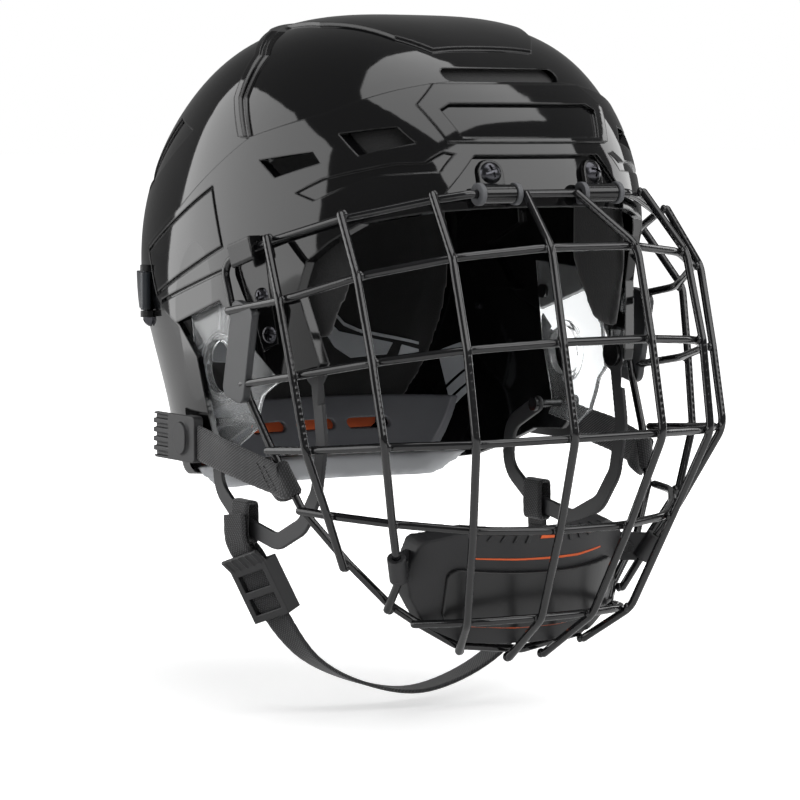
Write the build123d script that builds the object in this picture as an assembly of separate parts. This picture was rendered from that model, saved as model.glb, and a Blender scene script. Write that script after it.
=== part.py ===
from build123d import *
import os
from math import cos, hypot, pi, radians, sin, tan

# An ice hockey helmet with a full wire cage, in millimetres.
# +Z is up, the face looks along -Y and +X is the wearer's left.
# The origin is the middle of the head cavity at the level of the ear openings.

# Driving sizes of the shell
shell_half_width = 104.2
shell_radius = 150.0
shell_wall = 3.0
wing_raise = 1.4
ridge_raise = 2.6
crown_raise = 1.6
shell_gap = 0.4
seat_gap = 0.25
rear_travel = 12.0
tongue_wall = 2.4
overrun = 40.0
reach = 260.0

# The midline of the shell, as shares of the shell radius, one every 30 degrees from
# the back of the head over the crown to the brow and back under the jaw
midline_shares = [0.826, 0.975, 0.939, 0.964, 1.014, 0.995, 0.843, 0.85, 0.757, 0.729, 0.737, 0.687]
section_shares = [-0.996, -0.975, -0.92, -0.82, -0.66, -0.44, -0.2, 0.0, 0.2, 0.44, 0.66, 0.82, 0.92, 0.975, 0.996]
side_power = 2.28
crown_power = 3.43

# Side outlines, as (backward, upward) shares of the shell radius
crown_split_shares = [(0.09, 1.2), (0.08, 0.955), (-0.05, 0.925), (-0.147, 0.847), (-0.167, 0.72), (-0.247, 0.6)]
wing_top_shares = [(-0.247, 0.6), (0.108, 0.383), (0.375, 0.255)]
wing_back_shares = [(0.268, 0.1), (0.21, 0.06), (0.115, 0.025)]
ear_top_shares = [(-0.155, 0.107)]
temple_leg_shares = [(-0.413, -0.125), (-0.52, -0.1), (-0.54, -0.066)]
brim_shares = [(-0.483, 0.147), (-0.513, 0.233), (-0.58, 0.29), (-0.66, 0.345), (-0.8, 0.382), (-0.89, 0.397), (-1.2, 0.4)]
rear_leg_shares = [(0.115, 0.045), (0.0, -0.073), (-0.05, -0.2), (-0.087, -0.325)]
rear_hem_shares = [(-0.05, -0.36), (0.1, -0.37), (0.3, -0.47), (0.62, -0.533), (1.1, -0.533)]
ear_guard_shares = [(0.1, 0.19), (0.06, -0.087), (-0.005, -0.285), (0.013, -0.315), (-0.16, -0.337), (-0.249, -0.284),
                    (-0.296, -0.175), (-0.353, -0.135), (-0.3, 0.02), (-0.24, 0.17)]
side_panel_shares = [(-0.095, 0.447), (0.345, 0.243), (0.262, 0.108), (-0.167, 0.269)]
side_groove_shares = [(-0.167, 0.19), (0.225, 0.08)]
front_vent_shares = [(-0.557, 0.609), (-0.684, 0.629), (-0.735, 0.583), (-0.629, 0.545)]
side_vent_shares = [(-0.307, 0.531), (-0.499, 0.556), (-0.529, 0.524), (-0.381, 0.479)]
long_recess_shares = [(-0.463, 0.435), (-0.545, 0.477), (-0.711, 0.522), (-0.767, 0.525), (-0.785, 0.557),
                      (-0.801, 0.551), (-0.797, 0.499), (-0.679, 0.487), (-0.527, 0.413)]
rear_recess_shares = [(0.12, 0.62), (0.5, 0.42), (0.62, 0.46), (0.3, 0.66)]
rear_vent_shares = [(0.62, 0.62), (0.72, 0.5), (0.77, 0.52), (0.68, 0.66)]
brow_corner_shares = [(-1.2, 1.2)]
wing_front_shares = [(-1.2, 0.83), (-0.69, 0.775), (-0.5, 0.672)]
tongue_low_share = 0.44
groove_width = 1.8
groove_depth = 1.5
recess_depth = 1.3
lap_spare = 1.5
joggle = 4.5

# Front outlines, as (sideways, upward) shares of the shell radius
plate_frame_shares = [(0.287, 0.585), (0.334, 0.695), (0.262, 0.757)]
plate_shares = [(0.245, 0.598), (0.28, 0.681), (0.245, 0.699)]
clip_recess_shares = [(0.222, 0.547), (0.322, 0.432), (0.322, 0.3)]
crown_panel_shares = [(0.18, -0.54), (0.25, -0.44), (0.35, -0.17), (0.36, 0.05), (0.22, 0.3)]
plate_depth = 1.0
front_slot_half_length = 31.0
front_slot_height = 117.5
front_slot_tall = 6.0
ridge_band = 9.0
clip_recess_depth = 2.4
bracket_recess_depth = 2.0

# Padding, in side outlines
liner_thickness = 13.5
liner_split = 52.0
liner_joint = 1.0
brow_liner_shares = [(-0.346, 0.64), (-0.62, 0.48), (-0.8, 0.43), (-1.2, 0.43), (-1.2, 1.2), (-0.346, 1.2)]
crown_liner_shares = [(0.2, 0.56), (0.2, 1.2)]
rear_liner_shares = [(-0.3, 0.66), (0.16, 0.5), (0.5, 0.36), (0.5, -0.41), (1.2, -0.41), (1.2, 1.2), (-0.3, 1.2)]
temple_pad_shares = [(-0.54, 0.4), (-0.2, 0.45), (-0.2, 0.2), (-0.36, 0.02), (-0.5, 0.0), (-0.6, 0.2)]
occiput_pad_shares = [(0.3, -0.265), (1.1, -0.265), (1.1, -0.44), (0.3, -0.44)]
nape_band_shares = [(0.3, -0.452), (1.1, -0.452), (1.1, -0.533), (0.34, -0.533)]
occiput_pad_thickness = 3.0
occiput_slot_length = 22.0
occiput_slot_tall = 5.0
occiput_slot_height = -53.0
occiput_slot_spacing = 29.0
nape_band_thickness = 6.0

# The cage
wire_d = 3.8
weld_sink = 0.5
cage_half_width = 110.0
cage_reach = 190.0
cage_drop = 150.0
cage_bend = 14.0
temple_bend = 6.5
cross_bend = 40.0
longest_bend_share = 0.45
hinge_forward = 132.9
hinge_height = 65.2
hinge_straight = 43.0

# Places on the cage: shares of its half width, of its reach and of its drop
rim_shares = [(0.509, 0.649, 0.418), (0.786, 0.522, 0.364), (0.909, 0.337, 0.297), (0.975, 0.163, 0.223),
              (0.986, 0.218, 0.085), (0.973, 0.281, -0.175), (0.936, 0.351, -0.324), (0.873, 0.425, -0.495),
              (0.727, 0.488, -0.65), (0.564, 0.521, -0.78), (0.491, 0.563, -0.827), (0.3, 0.579, -0.91),
              (0.0, 0.597, -0.937)]
vertical_shares = [
    [(0.122, 0.704, 0.434), (0.203, 0.873, 0.285), (0.209, 0.926, 0.016), (0.209, 0.973, -0.255),
     (0.165, 0.879, -0.534), (0.123, 0.772, -0.808), (0.083, 0.609, -0.953)],
    [(0.509, 0.661, 0.434), (0.56, 0.788, 0.258), (0.565, 0.851, -0.001), (0.562, 0.886, -0.267),
     (0.48, 0.803, -0.53), (0.395, 0.707, -0.817), (0.302, 0.592, -0.924)],
    [(0.797, 0.537, 0.376), (0.835, 0.642, 0.204), (0.828, 0.699, -0.04), (0.822, 0.745, -0.279),
     (0.7, 0.666, -0.517), (0.589, 0.595, -0.696), (0.577, 0.534, -0.793)],
    [(0.935, 0.34, 0.303), (0.995, 0.454, 0.128), (0.975, 0.494, -0.091), (0.953, 0.53, -0.307),
     (0.864, 0.541, -0.501), (0.744, 0.497, -0.664)],
]
cross_shares = [
    [(1.014, 0.228, 0.083), (0.995, 0.454, 0.128), (0.835, 0.642, 0.204), (0.56, 0.788, 0.258), (0.203, 0.873, 0.285)],
    [(1.001, 0.276, -0.133), (0.975, 0.494, -0.091), (0.828, 0.699, -0.04), (0.565, 0.851, -0.001),
     (0.209, 0.926, 0.016)],
    [(0.966, 0.36, -0.324), (0.953, 0.53, -0.307), (0.822, 0.745, -0.279), (0.562, 0.886, -0.267),
     (0.209, 0.973, -0.255)],
    [(0.895, 0.435, -0.497), (0.864, 0.541, -0.501), (0.7, 0.666, -0.517), (0.48, 0.803, -0.53),
     (0.165, 0.879, -0.534)],
    [(0.503, 0.576, -0.835), (0.395, 0.707, -0.817), (0.123, 0.772, -0.808)],
]

# The hinge clips at the brow
barrel_d = 8.4
barrel_length = 16.8
barrel_middle = 27.6
pivot_gap = 0.08
flange_d = 10.0
flange_thickness = 2.4
clip_tab_width = 11.5
clip_tab_wall = 2.6
clip_screw_height = 74.3
clip_screw_forward = 127.5
clip_screw_lean = 17.0
clip_screw_yaw = 13.0
clip_screw_d = 4.0
clip_screw_head_d = 10.2
clip_screw_head = 2.4
clip_nut_d = 11.0
clip_nut = 3.0

# Temple brackets that the cage rests in
bracket_plate_shares = [(-0.245, 0.24), (-0.36, 0.29), (-0.41, -0.012), (-0.352, -0.035)]
bracket_wall = 2.0
bracket_block_length = 15.0
bracket_block_wall = 2.6
bracket_block_height = 11.0
bracket_channel_gap = 0.9
bracket_share = 0.5
bracket_screw_shares = [(-0.345, 0.13), (-0.375, 0.015)]
bracket_screw_head_d = 8.0
bracket_screw_d = 4.0
bracket_screw_head = 1.8
bracket_nut_d = 9.0
bracket_nut = 1.8

# Clear ear guards
ear_guard_out = 3.9
ear_guard_wall = 2.2
ear_hole_back = -12.0
ear_hole_up = -15.0
ear_hole_d = 24.0
ear_ring = 3.0
ear_ring_depth = 4.6
ear_stud_shares = [(-0.2, 0.135), (0.05, 0.09)]
ear_stud_d = 4.0
ear_stud_head_d = 7.0
ear_stud_head = 1.6

# Ear slings
sling_out = 84.0
sling_wall = 2.0
sling_width = 8.0
sling_shares = [(-0.477, -0.083), (-0.513, -0.3), (-0.48, -0.46), (-0.4, -0.565), (-0.253, -0.63), (-0.04, -0.593),
                (0.115, -0.49), (0.1, -0.35), (-0.053, -0.273)]
sling_bend = 14.0
sling_ring_d = 17.0
sling_ring_hole_d = 8.0
sling_stud_d = 5.4
sling_stud_head_d = 12.0
sling_stud_head = 2.0
sling_end_hole_d = 4.4

# Chin strap, as (sideways, backward, upward) shares of the shell's half width and its
# radius twice, each with the sideways and backward lie of the webbing's width
strap_width = 16.0
strap_wall = 1.8
strap_shares = [
    (-0.859, -0.06, -0.56, -0.15, 0.99), (-0.856, -0.073, -0.65, -0.2, 0.97), (-0.79, -0.097, -0.733, -0.45, 0.85),
    (-0.715, -0.127, -0.86, -0.4, 0.9), (-0.576, -0.183, -1.007, -0.2, 0.97), (-0.336, -0.213, -1.097, 0.0, 1.0),
    (-0.04, -0.227, -1.135, 0.0, 1.0), (0.384, -0.2, -1.053, 0.0, 1.0), (0.624, -0.153, -0.92, 0.0, 1.0),
    (0.768, -0.1, -0.747, 0.0, 1.0), (0.797, -0.056, -0.685, 0.0, 1.0), (0.797, -0.053, -0.646, 0.0, 1.0)]
short_strap_turn_shares = (-0.3, 0.95)
short_strap_drop = 5.0
strap_loop_place_shares = (0.797, -0.053, -0.585)
strap_loop_tall = 16.6
strap_loop_clear = 0.7
strap_apart = 1.0
strap_clear = 0.8
slider_length = 27.0
slider_width = 22.0
slider_wall = 1.7
slider_bar = 3.6
slider_lip = 7.0
slider_lip_turn = 28.0
slider_rib_count = 5
slider_rib_d = 1.2

# The chin cup
cup_half_width = 59.0
cup_bulge = 24.0
cup_forward = 113.0
cup_wall = 9.0
cup_end_wall = 4.5
cup_top = -78.0
cup_height = 54.0
cup_lean = 13.0
cup_outline_shares = [(0.6, 0.0), (0.84, 0.1), (0.95, 0.33), (1.0, 0.55), (0.93, 0.82), (0.64, 0.97)]
cup_corner = 7.0
cup_liner = 5.0
cup_plate_half_width = 45.0
cup_plate_middle = -110.4
cup_plate_height = 26.0
cup_plate_wall = 2.4
cup_plate_corner = 5.0
cup_bracket_share = 0.78
cup_bracket_sleeve_d = 8.4
cup_bracket_length = 13.0
cup_bracket_tab = 2.6
cup_rivet_d = 6.0
cup_rivet_proud = 1.2

# Tags on the side wires, harness straps and their clips
tag_length = 45.0
tag_width = 19.0
tag_wall = 3.6
tag_corner = 5.0
tag_out = 108.0
tag_back = -51.0
tag_up = -5.5
tag_lean = 12.5
harness_width = 16.5
harness_wall = 2.2
harness_back = (107.4, -1.0, -49.0)
harness_middle = (107.5, -38.0, -55.0)
harness_loop_share = 0.5
clip_out = 104.9
clip_wall = 5.0
clip_back_end = 31.0
clip_front_end = -8.0
clip_top = -38.0
clip_bottom = -59.5
clip_rib_count = 5
clip_rib_width = 2.0
clip_rib_length = 14.0
clip_rib_depth = 1.6
clip_pad_long = 15.0
clip_pad_wide = 11.0
clip_pad_back = 4.0
clip_pad_proud = 1.4
anchor_back = 8.0
anchor_up = -47.0
anchor_d = 6.0
anchor_head_d = 8.4
anchor_head = 1.3
anchor_gap = 0.5
pocket_skin = 1.9

# Size locks on the rear shell
lock_pivot_back = 53.5
lock_pivot_out = 101.5
lock_middle_up = 17.0
lock_tall = 18.0
lock_length = 17.0
lock_wall = 3.0
lock_knuckle_d = 5.0
lock_pin_d = 2.4
lock_lug = 3.0
lock_lug_gap = 0.4
lock_lug_depth = 7.0
lock_screw_back = 61.3
lock_screw_up = 2.5
shell_screw_head_d = 9.4
shell_screw_head = 3.2
shell_screw_d = 4.0
shell_screw_depth = 5.0

# Parts worked out from the sizes above
lap = rear_travel + lap_spare
lap_top = shell_wall + shell_gap
lap_bottom = lap_top + tongue_wall
clip_floor = wing_raise - clip_recess_depth
bracket_floor = wing_raise - bracket_recess_depth
weld_offset = (wire_d - weld_sink) / 2

skins = {}


def skin(offset):
    """Return the closed body inside the shell's outer surface, moved out by offset."""
    if offset in skins:
        return skins[offset]
    half = shell_half_width + offset
    sections = []
    for share in section_shares:
        wide = (1 - abs(share) ** side_power) ** (1 / side_power)
        tall = (1 - abs(share) ** crown_power) ** (1 / crown_power)
        points = []
        for step, radius_share in enumerate(midline_shares):
            turn = 2 * pi * step / len(midline_shares)
            radius = radius_share * shell_radius + offset
            points.append((share * half, radius * cos(turn) * wide, radius * sin(turn) * tall))
        sections.append(make_face(Spline(*points, periodic=True)))
    skins[offset] = loft(sections)
    return skins[offset]


def coat(block, outer, inner):
    """Return the part of a block that lies between two skins."""
    return (block & skin(outer)) - skin(inner)


def scaled(shares):
    """Turn (backward, upward) shares into lengths."""
    return [(back * shell_radius, up * shell_radius) for back, up in shares]


def worn_place(shares):
    """Turn (sideways, backward, upward) shares into a place."""
    side, back, up = shares
    return Vector(side * shell_half_width, back * shell_radius, up * shell_radius)


def side_face(points, out=-reach):
    """Return a face in a plane across X from (backward, upward) lengths."""
    return make_face(Polyline(*[(out, back, up) for back, up in points], close=True))


def carried(face):
    """Carry a side face right through the helmet along X."""
    return extrude(face, amount=reach + reach, dir=(1, 0, 0))


def side_block(points):
    """Return a side outline carried right through the helmet."""
    return carried(side_face(points))


def front_block(points):
    """Return a front outline, given for one half, carried over the face side."""
    half = [(side, 0, up) for side, up in points]
    other = [(-side, 0, up) for side, up in reversed(points)]
    return extrude(make_face(Polyline(*(half + other), close=True)), amount=reach, dir=(0, -1, 0))


def top_block(points):
    """Return a top outline, given for one half, carried upwards from the origin."""
    half = [(side, back, 0) for side, back in points]
    other = [(-side, back, 0) for side, back in reversed(points)]
    return extrude(make_face(Polyline(*(half + other), close=True)), amount=reach, dir=(0, 0, 1))


def grown(face, amount):
    """Return a flat face with its edge moved out by amount, or in by a negative one."""
    return offset(face, amount=amount, kind=Kind.ARC)


def box_between(low, high):
    """Return a box from its lowest to its highest corner."""
    size = [top - bottom for bottom, top in zip(low, high)]
    middle = [(top + bottom) / 2 for bottom, top in zip(low, high)]
    return Pos(*middle) * Box(*size)


def right_half():
    """Return the space on the wearer's right."""
    return box_between((-reach, -reach, -reach), (0, reach, reach))


def mirrored(shape):
    """Return the wearer's left copy of a right-hand piece."""
    return mirror(shape, about=Plane.YZ)


def pair(shapes):
    """Return right-hand solids and their left copies as one group."""
    return Compound(children=list(shapes) + [mirrored(shape) for shape in shapes])


def rod(middle, heading, diameter, length):
    """Return a round rod about a middle place, along a heading."""
    return Plane(origin=middle, z_dir=heading) * Cylinder(diameter / 2, length)


def side_rod(back, up, diameter):
    """Return a rod along X from the wearer's right to the middle of the helmet."""
    return rod((-reach / 2, back, up), (1, 0, 0), diameter, reach)


def bent_path(points, bend):
    """Join straight runs with tangent arcs no larger than the runs allow."""
    spots = [Vector(*point) for point in points]
    edges = []
    start = spots[0]
    for before, corner, after in zip(spots, spots[1:], spots[2:]):
        inward = (before - corner).normalized()
        outward = (after - corner).normalized()
        turn = radians(180 - inward.get_angle(outward))
        shorter = min((before - corner).length, (after - corner).length)
        radius = min(bend, longest_bend_share * shorter / tan(turn / 2))
        setback = radius * tan(turn / 2)
        first = corner + inward * setback
        last = corner + outward * setback
        lift = radius * (1 / cos(turn / 2) - 1)
        middle = corner + (inward + outward).normalized() * lift
        edges.append(Line(start, first))
        edges.append(ThreePointArc(first, middle, last))
        start = last
    edges.append(Line(start, spots[-1]))
    return Wire(edges)


def bent_wire(points, bend, diameter):
    """Return a round wire along bent_path."""
    path = bent_path(points, bend)
    heading = Vector(*points[1]) - Vector(*points[0])
    section = Plane(origin=Vector(*points[0]), z_dir=heading) * Circle(diameter / 2)
    return sweep(section, path=path)


def flat_band(points, bend, width):
    """Return a flat band of constant width around a path drawn in the XY plane."""
    path = bent_path([(along, up, 0) for along, up in points], bend)
    return make_face(path.offset_2d(width / 2, kind=Kind.ARC, side=Side.BOTH, closed=True).edges())


def ribbon_frames(places, widths):
    """Return a plane at each place, its X along the webbing's width and its Z along the run."""
    frames = []
    for index, (place, width) in enumerate(zip(places, widths)):
        ahead = places[min(index + 1, len(places) - 1)]
        behind = places[max(index - 1, 0)]
        run = (ahead - behind).normalized()
        across = (width - run * width.dot(run)).normalized()
        frames.append(Plane(origin=place, x_dir=across, z_dir=run))
    return frames


def ribbon(frames, width, wall, straight=False):
    """Return webbing that passes squarely through each frame, in straight runs or one smooth one."""
    return loft([frame * Rectangle(width, wall) for frame in frames], ruled=straight)


# Outlines shared by both shells
front_outline = scaled(crown_split_shares + wing_top_shares[1:] + wing_back_shares + ear_top_shares
                       + temple_leg_shares + brim_shares + brow_corner_shares)
rear_outline = scaled([(1.2, 1.2)] + crown_split_shares + wing_top_shares[1:] + wing_back_shares
                      + rear_leg_shares[1:] + rear_hem_shares[:-1] + [(1.2, rear_hem_shares[-1][1])])
wing_outline = scaled(wing_top_shares + wing_back_shares + ear_top_shares + temple_leg_shares + brim_shares
                      + wing_front_shares)


def panel_groove():
    """Cut the groove round the side panel and the one below it."""
    panel = side_face(scaled(side_panel_shares))
    ring = grown(panel, groove_width / 2) - grown(panel, -groove_width / 2)
    (back_a, up_a), (back_b, up_b) = scaled(side_groove_shares)
    line = side_face([(back_a, up_a), (back_b, up_b), (back_b, up_b + groove_width), (back_a, up_a + groove_width)])
    return (carried(ring) + carried(line)) - skin(wing_raise - groove_depth)


def make_front_shell():
    """Crown, brow, side wings and temple legs in one moulding."""
    outline = side_face(front_outline)
    body = skin(0) & carried(outline)
    body += skin(wing_raise) & side_block(wing_outline)
    body += skin(crown_raise) & top_block(scaled(crown_panel_shares)) & carried(outline)
    body += skin(wing_raise + plate_depth) & front_block(scaled(plate_frame_shares)) & carried(outline)
    body -= skin(-shell_wall)
    body -= front_block(scaled(plate_shares)) - skin(wing_raise - plate_depth / 2)
    body -= front_block(scaled(clip_recess_shares)) - skin(clip_floor)
    bed = grown(side_face(scaled(bracket_plate_shares)), seat_gap)
    body -= carried(bed) - skin(bracket_floor)
    body -= side_block(scaled(long_recess_shares)) - skin(wing_raise - recess_depth)
    body -= panel_groove()
    for vent in (front_vent_shares, side_vent_shares):
        body -= side_block(scaled(vent))
    slot = Plane.XZ * SlotOverall(2 * front_slot_half_length, front_slot_tall)
    body -= Pos(0, -liner_split, front_slot_height) * extrude(slot, amount=reach)
    for screw in clip_screw_rods(clip_screw_d + 2 * seat_gap) + bracket_screw_rods(bracket_screw_d + 2 * seat_gap):
        body -= screw
        body -= mirrored(screw)
    return body + front_flange(outline)


def front_flange(outline):
    """A stepped-in edge of the front shell that runs behind the rear shell."""
    window = side_face([(lap + lap, lap), (reach, lap), (reach, reach), (lap + lap, reach)])
    under = grown(outline, lap) - grown(outline, -joggle)
    step = outline - grown(outline, -joggle)
    flange = coat(carried(under & window), -lap_top, -lap_bottom)
    return flange + coat(carried(step & window), -shell_wall / 2, -lap_bottom)


def make_rear_shell():
    """Back of the head, with a leg behind each ear and a raised ridge at its front edge."""
    outline = side_face(rear_outline) - grown(side_face(front_outline), shell_gap)
    body = skin(0) & carried(outline)
    edge = scaled(crown_split_shares)
    for rise, start, width in ((ridge_raise / 2, 0, ridge_band), (ridge_raise, ridge_raise, ridge_band - 2 * ridge_raise)):
        near = [(back + start, up) for back, up in edge]
        far = [(back + start + width, up) for back, up in reversed(edge)]
        body += skin(rise) & side_block(near + far) & carried(outline)
    body -= skin(-shell_wall)
    body -= side_block(scaled(rear_recess_shares)) - skin(-recess_depth)
    body -= side_block(scaled(rear_vent_shares))
    whole = side_face(rear_outline)
    low = tongue_low_share * shell_radius
    window = side_face([(-reach, low), (lap, low), (lap, reach), (-reach, reach)])
    under = grown(whole, lap) - grown(whole, -joggle)
    step = outline - grown(whole, -joggle)
    tongue = coat(carried(under & window), -lap_top, -lap_bottom)
    tongue &= Pos(0, -rear_travel, 0) * skin(-lap_top)
    tongue += coat(carried(step & window), -shell_wall / 2, -lap_bottom)
    return body + tongue


def make_shells():
    """The two mouldings of the outer shell."""
    return {"front_shell": make_front_shell(), "rear_shell": make_rear_shell()}


def pad(face, outer, thickness):
    """Return a foam pad with a side outline, following the inside of the shell."""
    return coat(carried(face), -outer, -outer - thickness)


def make_liners():
    """Foam pads, kept clear of the step where one shell runs behind the other."""
    under_shell = shell_wall + seat_gap
    under_tongue = lap_bottom + seat_gap
    under_guard = ear_guard_out + ear_guard_wall + seat_gap
    brow = pad(side_face(scaled(brow_liner_shares)), under_shell, liner_thickness)
    for place in clip_screw_rods(clip_nut_d + 2 * seat_gap):
        pocket = coat(place, -under_shell, -under_shell - clip_nut - seat_gap)
        brow -= pocket
        brow -= mirrored(pocket)
    behind = side_face(rear_outline)
    front_edge = liner_joint - liner_split
    crown_face = side_face([(front_edge, up) for back, up in reversed(scaled(crown_liner_shares))] + scaled(crown_liner_shares))
    crown_face -= grown(behind, liner_joint)
    rear_face = grown(behind, -joggle - seat_gap) & side_face(scaled(rear_liner_shares))
    temple = pad(side_face(scaled(temple_pad_shares)), under_guard, liner_thickness) & right_half()
    return {
        "front_liner": brow,
        "crown_liner": pad(crown_face, under_tongue, liner_thickness - tongue_wall),
        "rear_liner": pad(rear_face, under_shell, liner_thickness),
        "temple_pad_right": temple,
        "temple_pad_left": mirrored(temple),
    }


def make_occiput():
    """The plastic pad at the back of the head, with slots, and the band below it."""
    depth = shell_wall + liner_thickness + 2 * seat_gap
    plate = pad(side_face(scaled(occiput_pad_shares)), depth, occiput_pad_thickness)
    slot = extrude(Plane.XZ * SlotOverall(occiput_slot_length, occiput_slot_tall), amount=-reach)
    for count in (-1, 0, 1):
        plate -= Pos(count * occiput_slot_spacing, 0, occiput_slot_height) * slot
    band = pad(side_face(scaled(nape_band_shares)), shell_wall + seat_gap, nape_band_thickness)
    return {"occiput_pad": plate, "nape_band": band}


def make_ear_guards():
    """Clear guards with a ringed hearing hole and the studs that hold them."""
    inner = ear_guard_out + ear_guard_wall
    plate = pad(side_face(scaled(ear_guard_shares)), ear_guard_out, ear_guard_wall) & right_half()
    ring = side_rod(ear_hole_back, ear_hole_up, ear_hole_d + 2 * ear_ring)
    plate += coat(ring, -ear_guard_out, -ear_guard_out - ear_ring_depth)
    plate -= side_rod(ear_hole_back, ear_hole_up, ear_hole_d)
    studs = []
    for back, up in scaled(ear_stud_shares):
        plate -= side_rod(back, up, ear_stud_d + 2 * seat_gap)
        shank = coat(side_rod(back, up, ear_stud_d), -shell_wall / 2, -inner)
        studs.append(shank + coat(side_rod(back, up, ear_stud_head_d), -inner, -inner - ear_stud_head))
    return {"ear_guard_right": plate, "ear_guard_left": mirrored(plate), "ear_guard_studs": pair(studs)}


def cage_place(shares):
    """Turn cage shares into a place on the wearer's right."""
    side, forward, up = shares
    return (-side * cage_half_width, -forward * cage_reach, up * cage_drop)


def moved_outward(place, distance):
    """Move a place on the cage level away from the middle of the face."""
    side, back, up = place
    across = side / cage_half_width ** 2
    along = back / cage_reach ** 2
    size = hypot(across, along)
    return (side + distance * across / size, back + distance * along / size, up)


def rim_places():
    """Corners of the rim wire from the middle of the brow round to under the chin."""
    start = [(0, -hinge_forward, hinge_height), (-hinge_straight, -hinge_forward, hinge_height)]
    return start + [cage_place(shares) for shares in rim_shares]


def round_ends(wire, places):
    """Round off both ends of a wire."""
    return wire + Pos(*places[0]) * Sphere(wire_d / 2) + Pos(*places[-1]) * Sphere(wire_d / 2)


def make_cage():
    """Rim, uprights and cross wires of the cage, welded where they meet."""
    right = bent_wire(rim_places(), temple_bend, wire_d)
    uprights = []
    for shares in vertical_shares:
        places = [moved_outward(cage_place(place), weld_offset) for place in shares]
        uprights.append(round_ends(bent_wire(places, cage_bend, wire_d), places))
    crosses = []
    for shares in cross_shares:
        places = [cage_place(shares[0])]
        places += [moved_outward(cage_place(place), -weld_offset) for place in shares[1:]]
        places += [(-side, back, up) for side, back, up in reversed(places)]
        crosses.append(round_ends(bent_wire(places, cross_bend, wire_d), places))
    return {
        "cage_rim_wire": right + mirrored(right),
        "cage_upright_wires": pair(uprights),
        "cage_cross_wires": Compound(children=crosses),
    }


def clip_screw_rods(diameter):
    """Return the right clip's screw line as a rod, in a list of one."""
    lean, yaw = radians(clip_screw_lean), radians(clip_screw_yaw)
    heading = (-sin(yaw) * cos(lean), -cos(yaw) * cos(lean), sin(lean))
    return [rod((-barrel_middle, -clip_screw_forward, clip_screw_height), heading, diameter, overrun)]


def make_brow_clips():
    """Clips that hold the rim wire at the brow, their rubber flanges, screws and nuts."""
    seat = clip_floor + seat_gap
    centre = (-barrel_middle, -hinge_forward, hinge_height)
    barrel = rod(centre, (1, 0, 0), barrel_d, barrel_length)
    bore = rod(centre, (1, 0, 0), wire_d + 2 * pivot_gap, overrun)
    half = clip_tab_width / 2
    right, left = -barrel_middle - half, -barrel_middle + half
    neck = box_between((right, -hinge_forward, hinge_height - barrel_d / 2),
                       (left, -hinge_forward + barrel_d, hinge_height + barrel_d / 2))
    tab = box_between((right, -reach, hinge_height), (left, 0, clip_screw_height))
    tab += rod((-barrel_middle, -reach / 2, clip_screw_height), (0, 1, 0), clip_tab_width, reach)
    body = ((barrel + neck) - skin(seat)) + coat(tab, seat + clip_tab_wall, seat)
    body -= bore
    top = seat + clip_tab_wall
    under = -shell_wall - seat_gap
    for hole in clip_screw_rods(clip_screw_d + 2 * seat_gap):
        body -= hole
    shank = clip_screw_rods(clip_screw_d)[0]
    screw = coat(shank, top, under - clip_nut) + coat(clip_screw_rods(clip_screw_head_d)[0], top + clip_screw_head, top)
    nut = coat(clip_screw_rods(clip_nut_d)[0], under, under - clip_nut) - shank
    flanges = []
    for side in (-1, 1):
        middle = -barrel_middle + side * (barrel_length + flange_thickness) / 2
        flange = rod((middle, -hinge_forward, hinge_height), (1, 0, 0), flange_d, flange_thickness)
        flanges.append(flange - bore - skin(seat))
    return {
        "brow_clip_right": body,
        "brow_clip_left": mirrored(body),
        "brow_clip_flanges": pair(flanges),
        "brow_clip_screws": pair([screw]),
        "brow_clip_nuts": pair([nut]),
    }


def bracket_screw_rods(diameter):
    """Return the right bracket's screw lines as rods."""
    return [side_rod(back, up, diameter) for back, up in scaled(bracket_screw_shares)]


def make_temple_brackets():
    """Plates on the temple legs whose saddle blocks hold the cage's side wires."""
    seat = bracket_floor + seat_gap
    top = seat + bracket_wall
    under = -shell_wall - seat_gap
    plate = coat(side_block(scaled(bracket_plate_shares)) & right_half(), top, seat)
    first, last = (Vector(*place) for place in rim_places()[4:6])
    middle = first + (last - first) * bracket_share
    run = (last - first).normalized()
    frame = Plane(origin=middle, x_dir=run, z_dir=Vector(0, 0, 1) - run * run.Z)
    channel_d = wire_d + 2 * bracket_channel_gap
    rise = channel_d / 2 + bracket_block_wall - bracket_block_height / 2
    block = frame * Pos(0, 0, rise) * Box(bracket_block_length, channel_d + 2 * bracket_block_wall, bracket_block_height)
    block = fillet(block.edges().filter_by(Axis(middle, run)), bracket_block_wall / 2)
    channel = frame * Rot(0, 90, 0) * Cylinder(channel_d / 2, overrun)
    channel += frame * Pos(0, 0, -overrun / 2) * Box(overrun, channel_d, overrun)
    body = (plate + (block - skin(top))) - channel
    screws, nuts = [], []
    for hole, shank, head, nut in zip(bracket_screw_rods(bracket_screw_d + 2 * seat_gap), bracket_screw_rods(bracket_screw_d),
                                      bracket_screw_rods(bracket_screw_head_d), bracket_screw_rods(bracket_nut_d)):
        body -= hole
        screws.append(coat(head, top + bracket_screw_head, top) + coat(shank, top, under - bracket_nut))
        nuts.append(coat(nut, under, under - bracket_nut) - shank)
    return {
        "temple_bracket_right": body,
        "temple_bracket_left": mirrored(body),
        "temple_bracket_screws": pair(screws),
        "temple_bracket_nuts": pair(nuts),
    }


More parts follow.
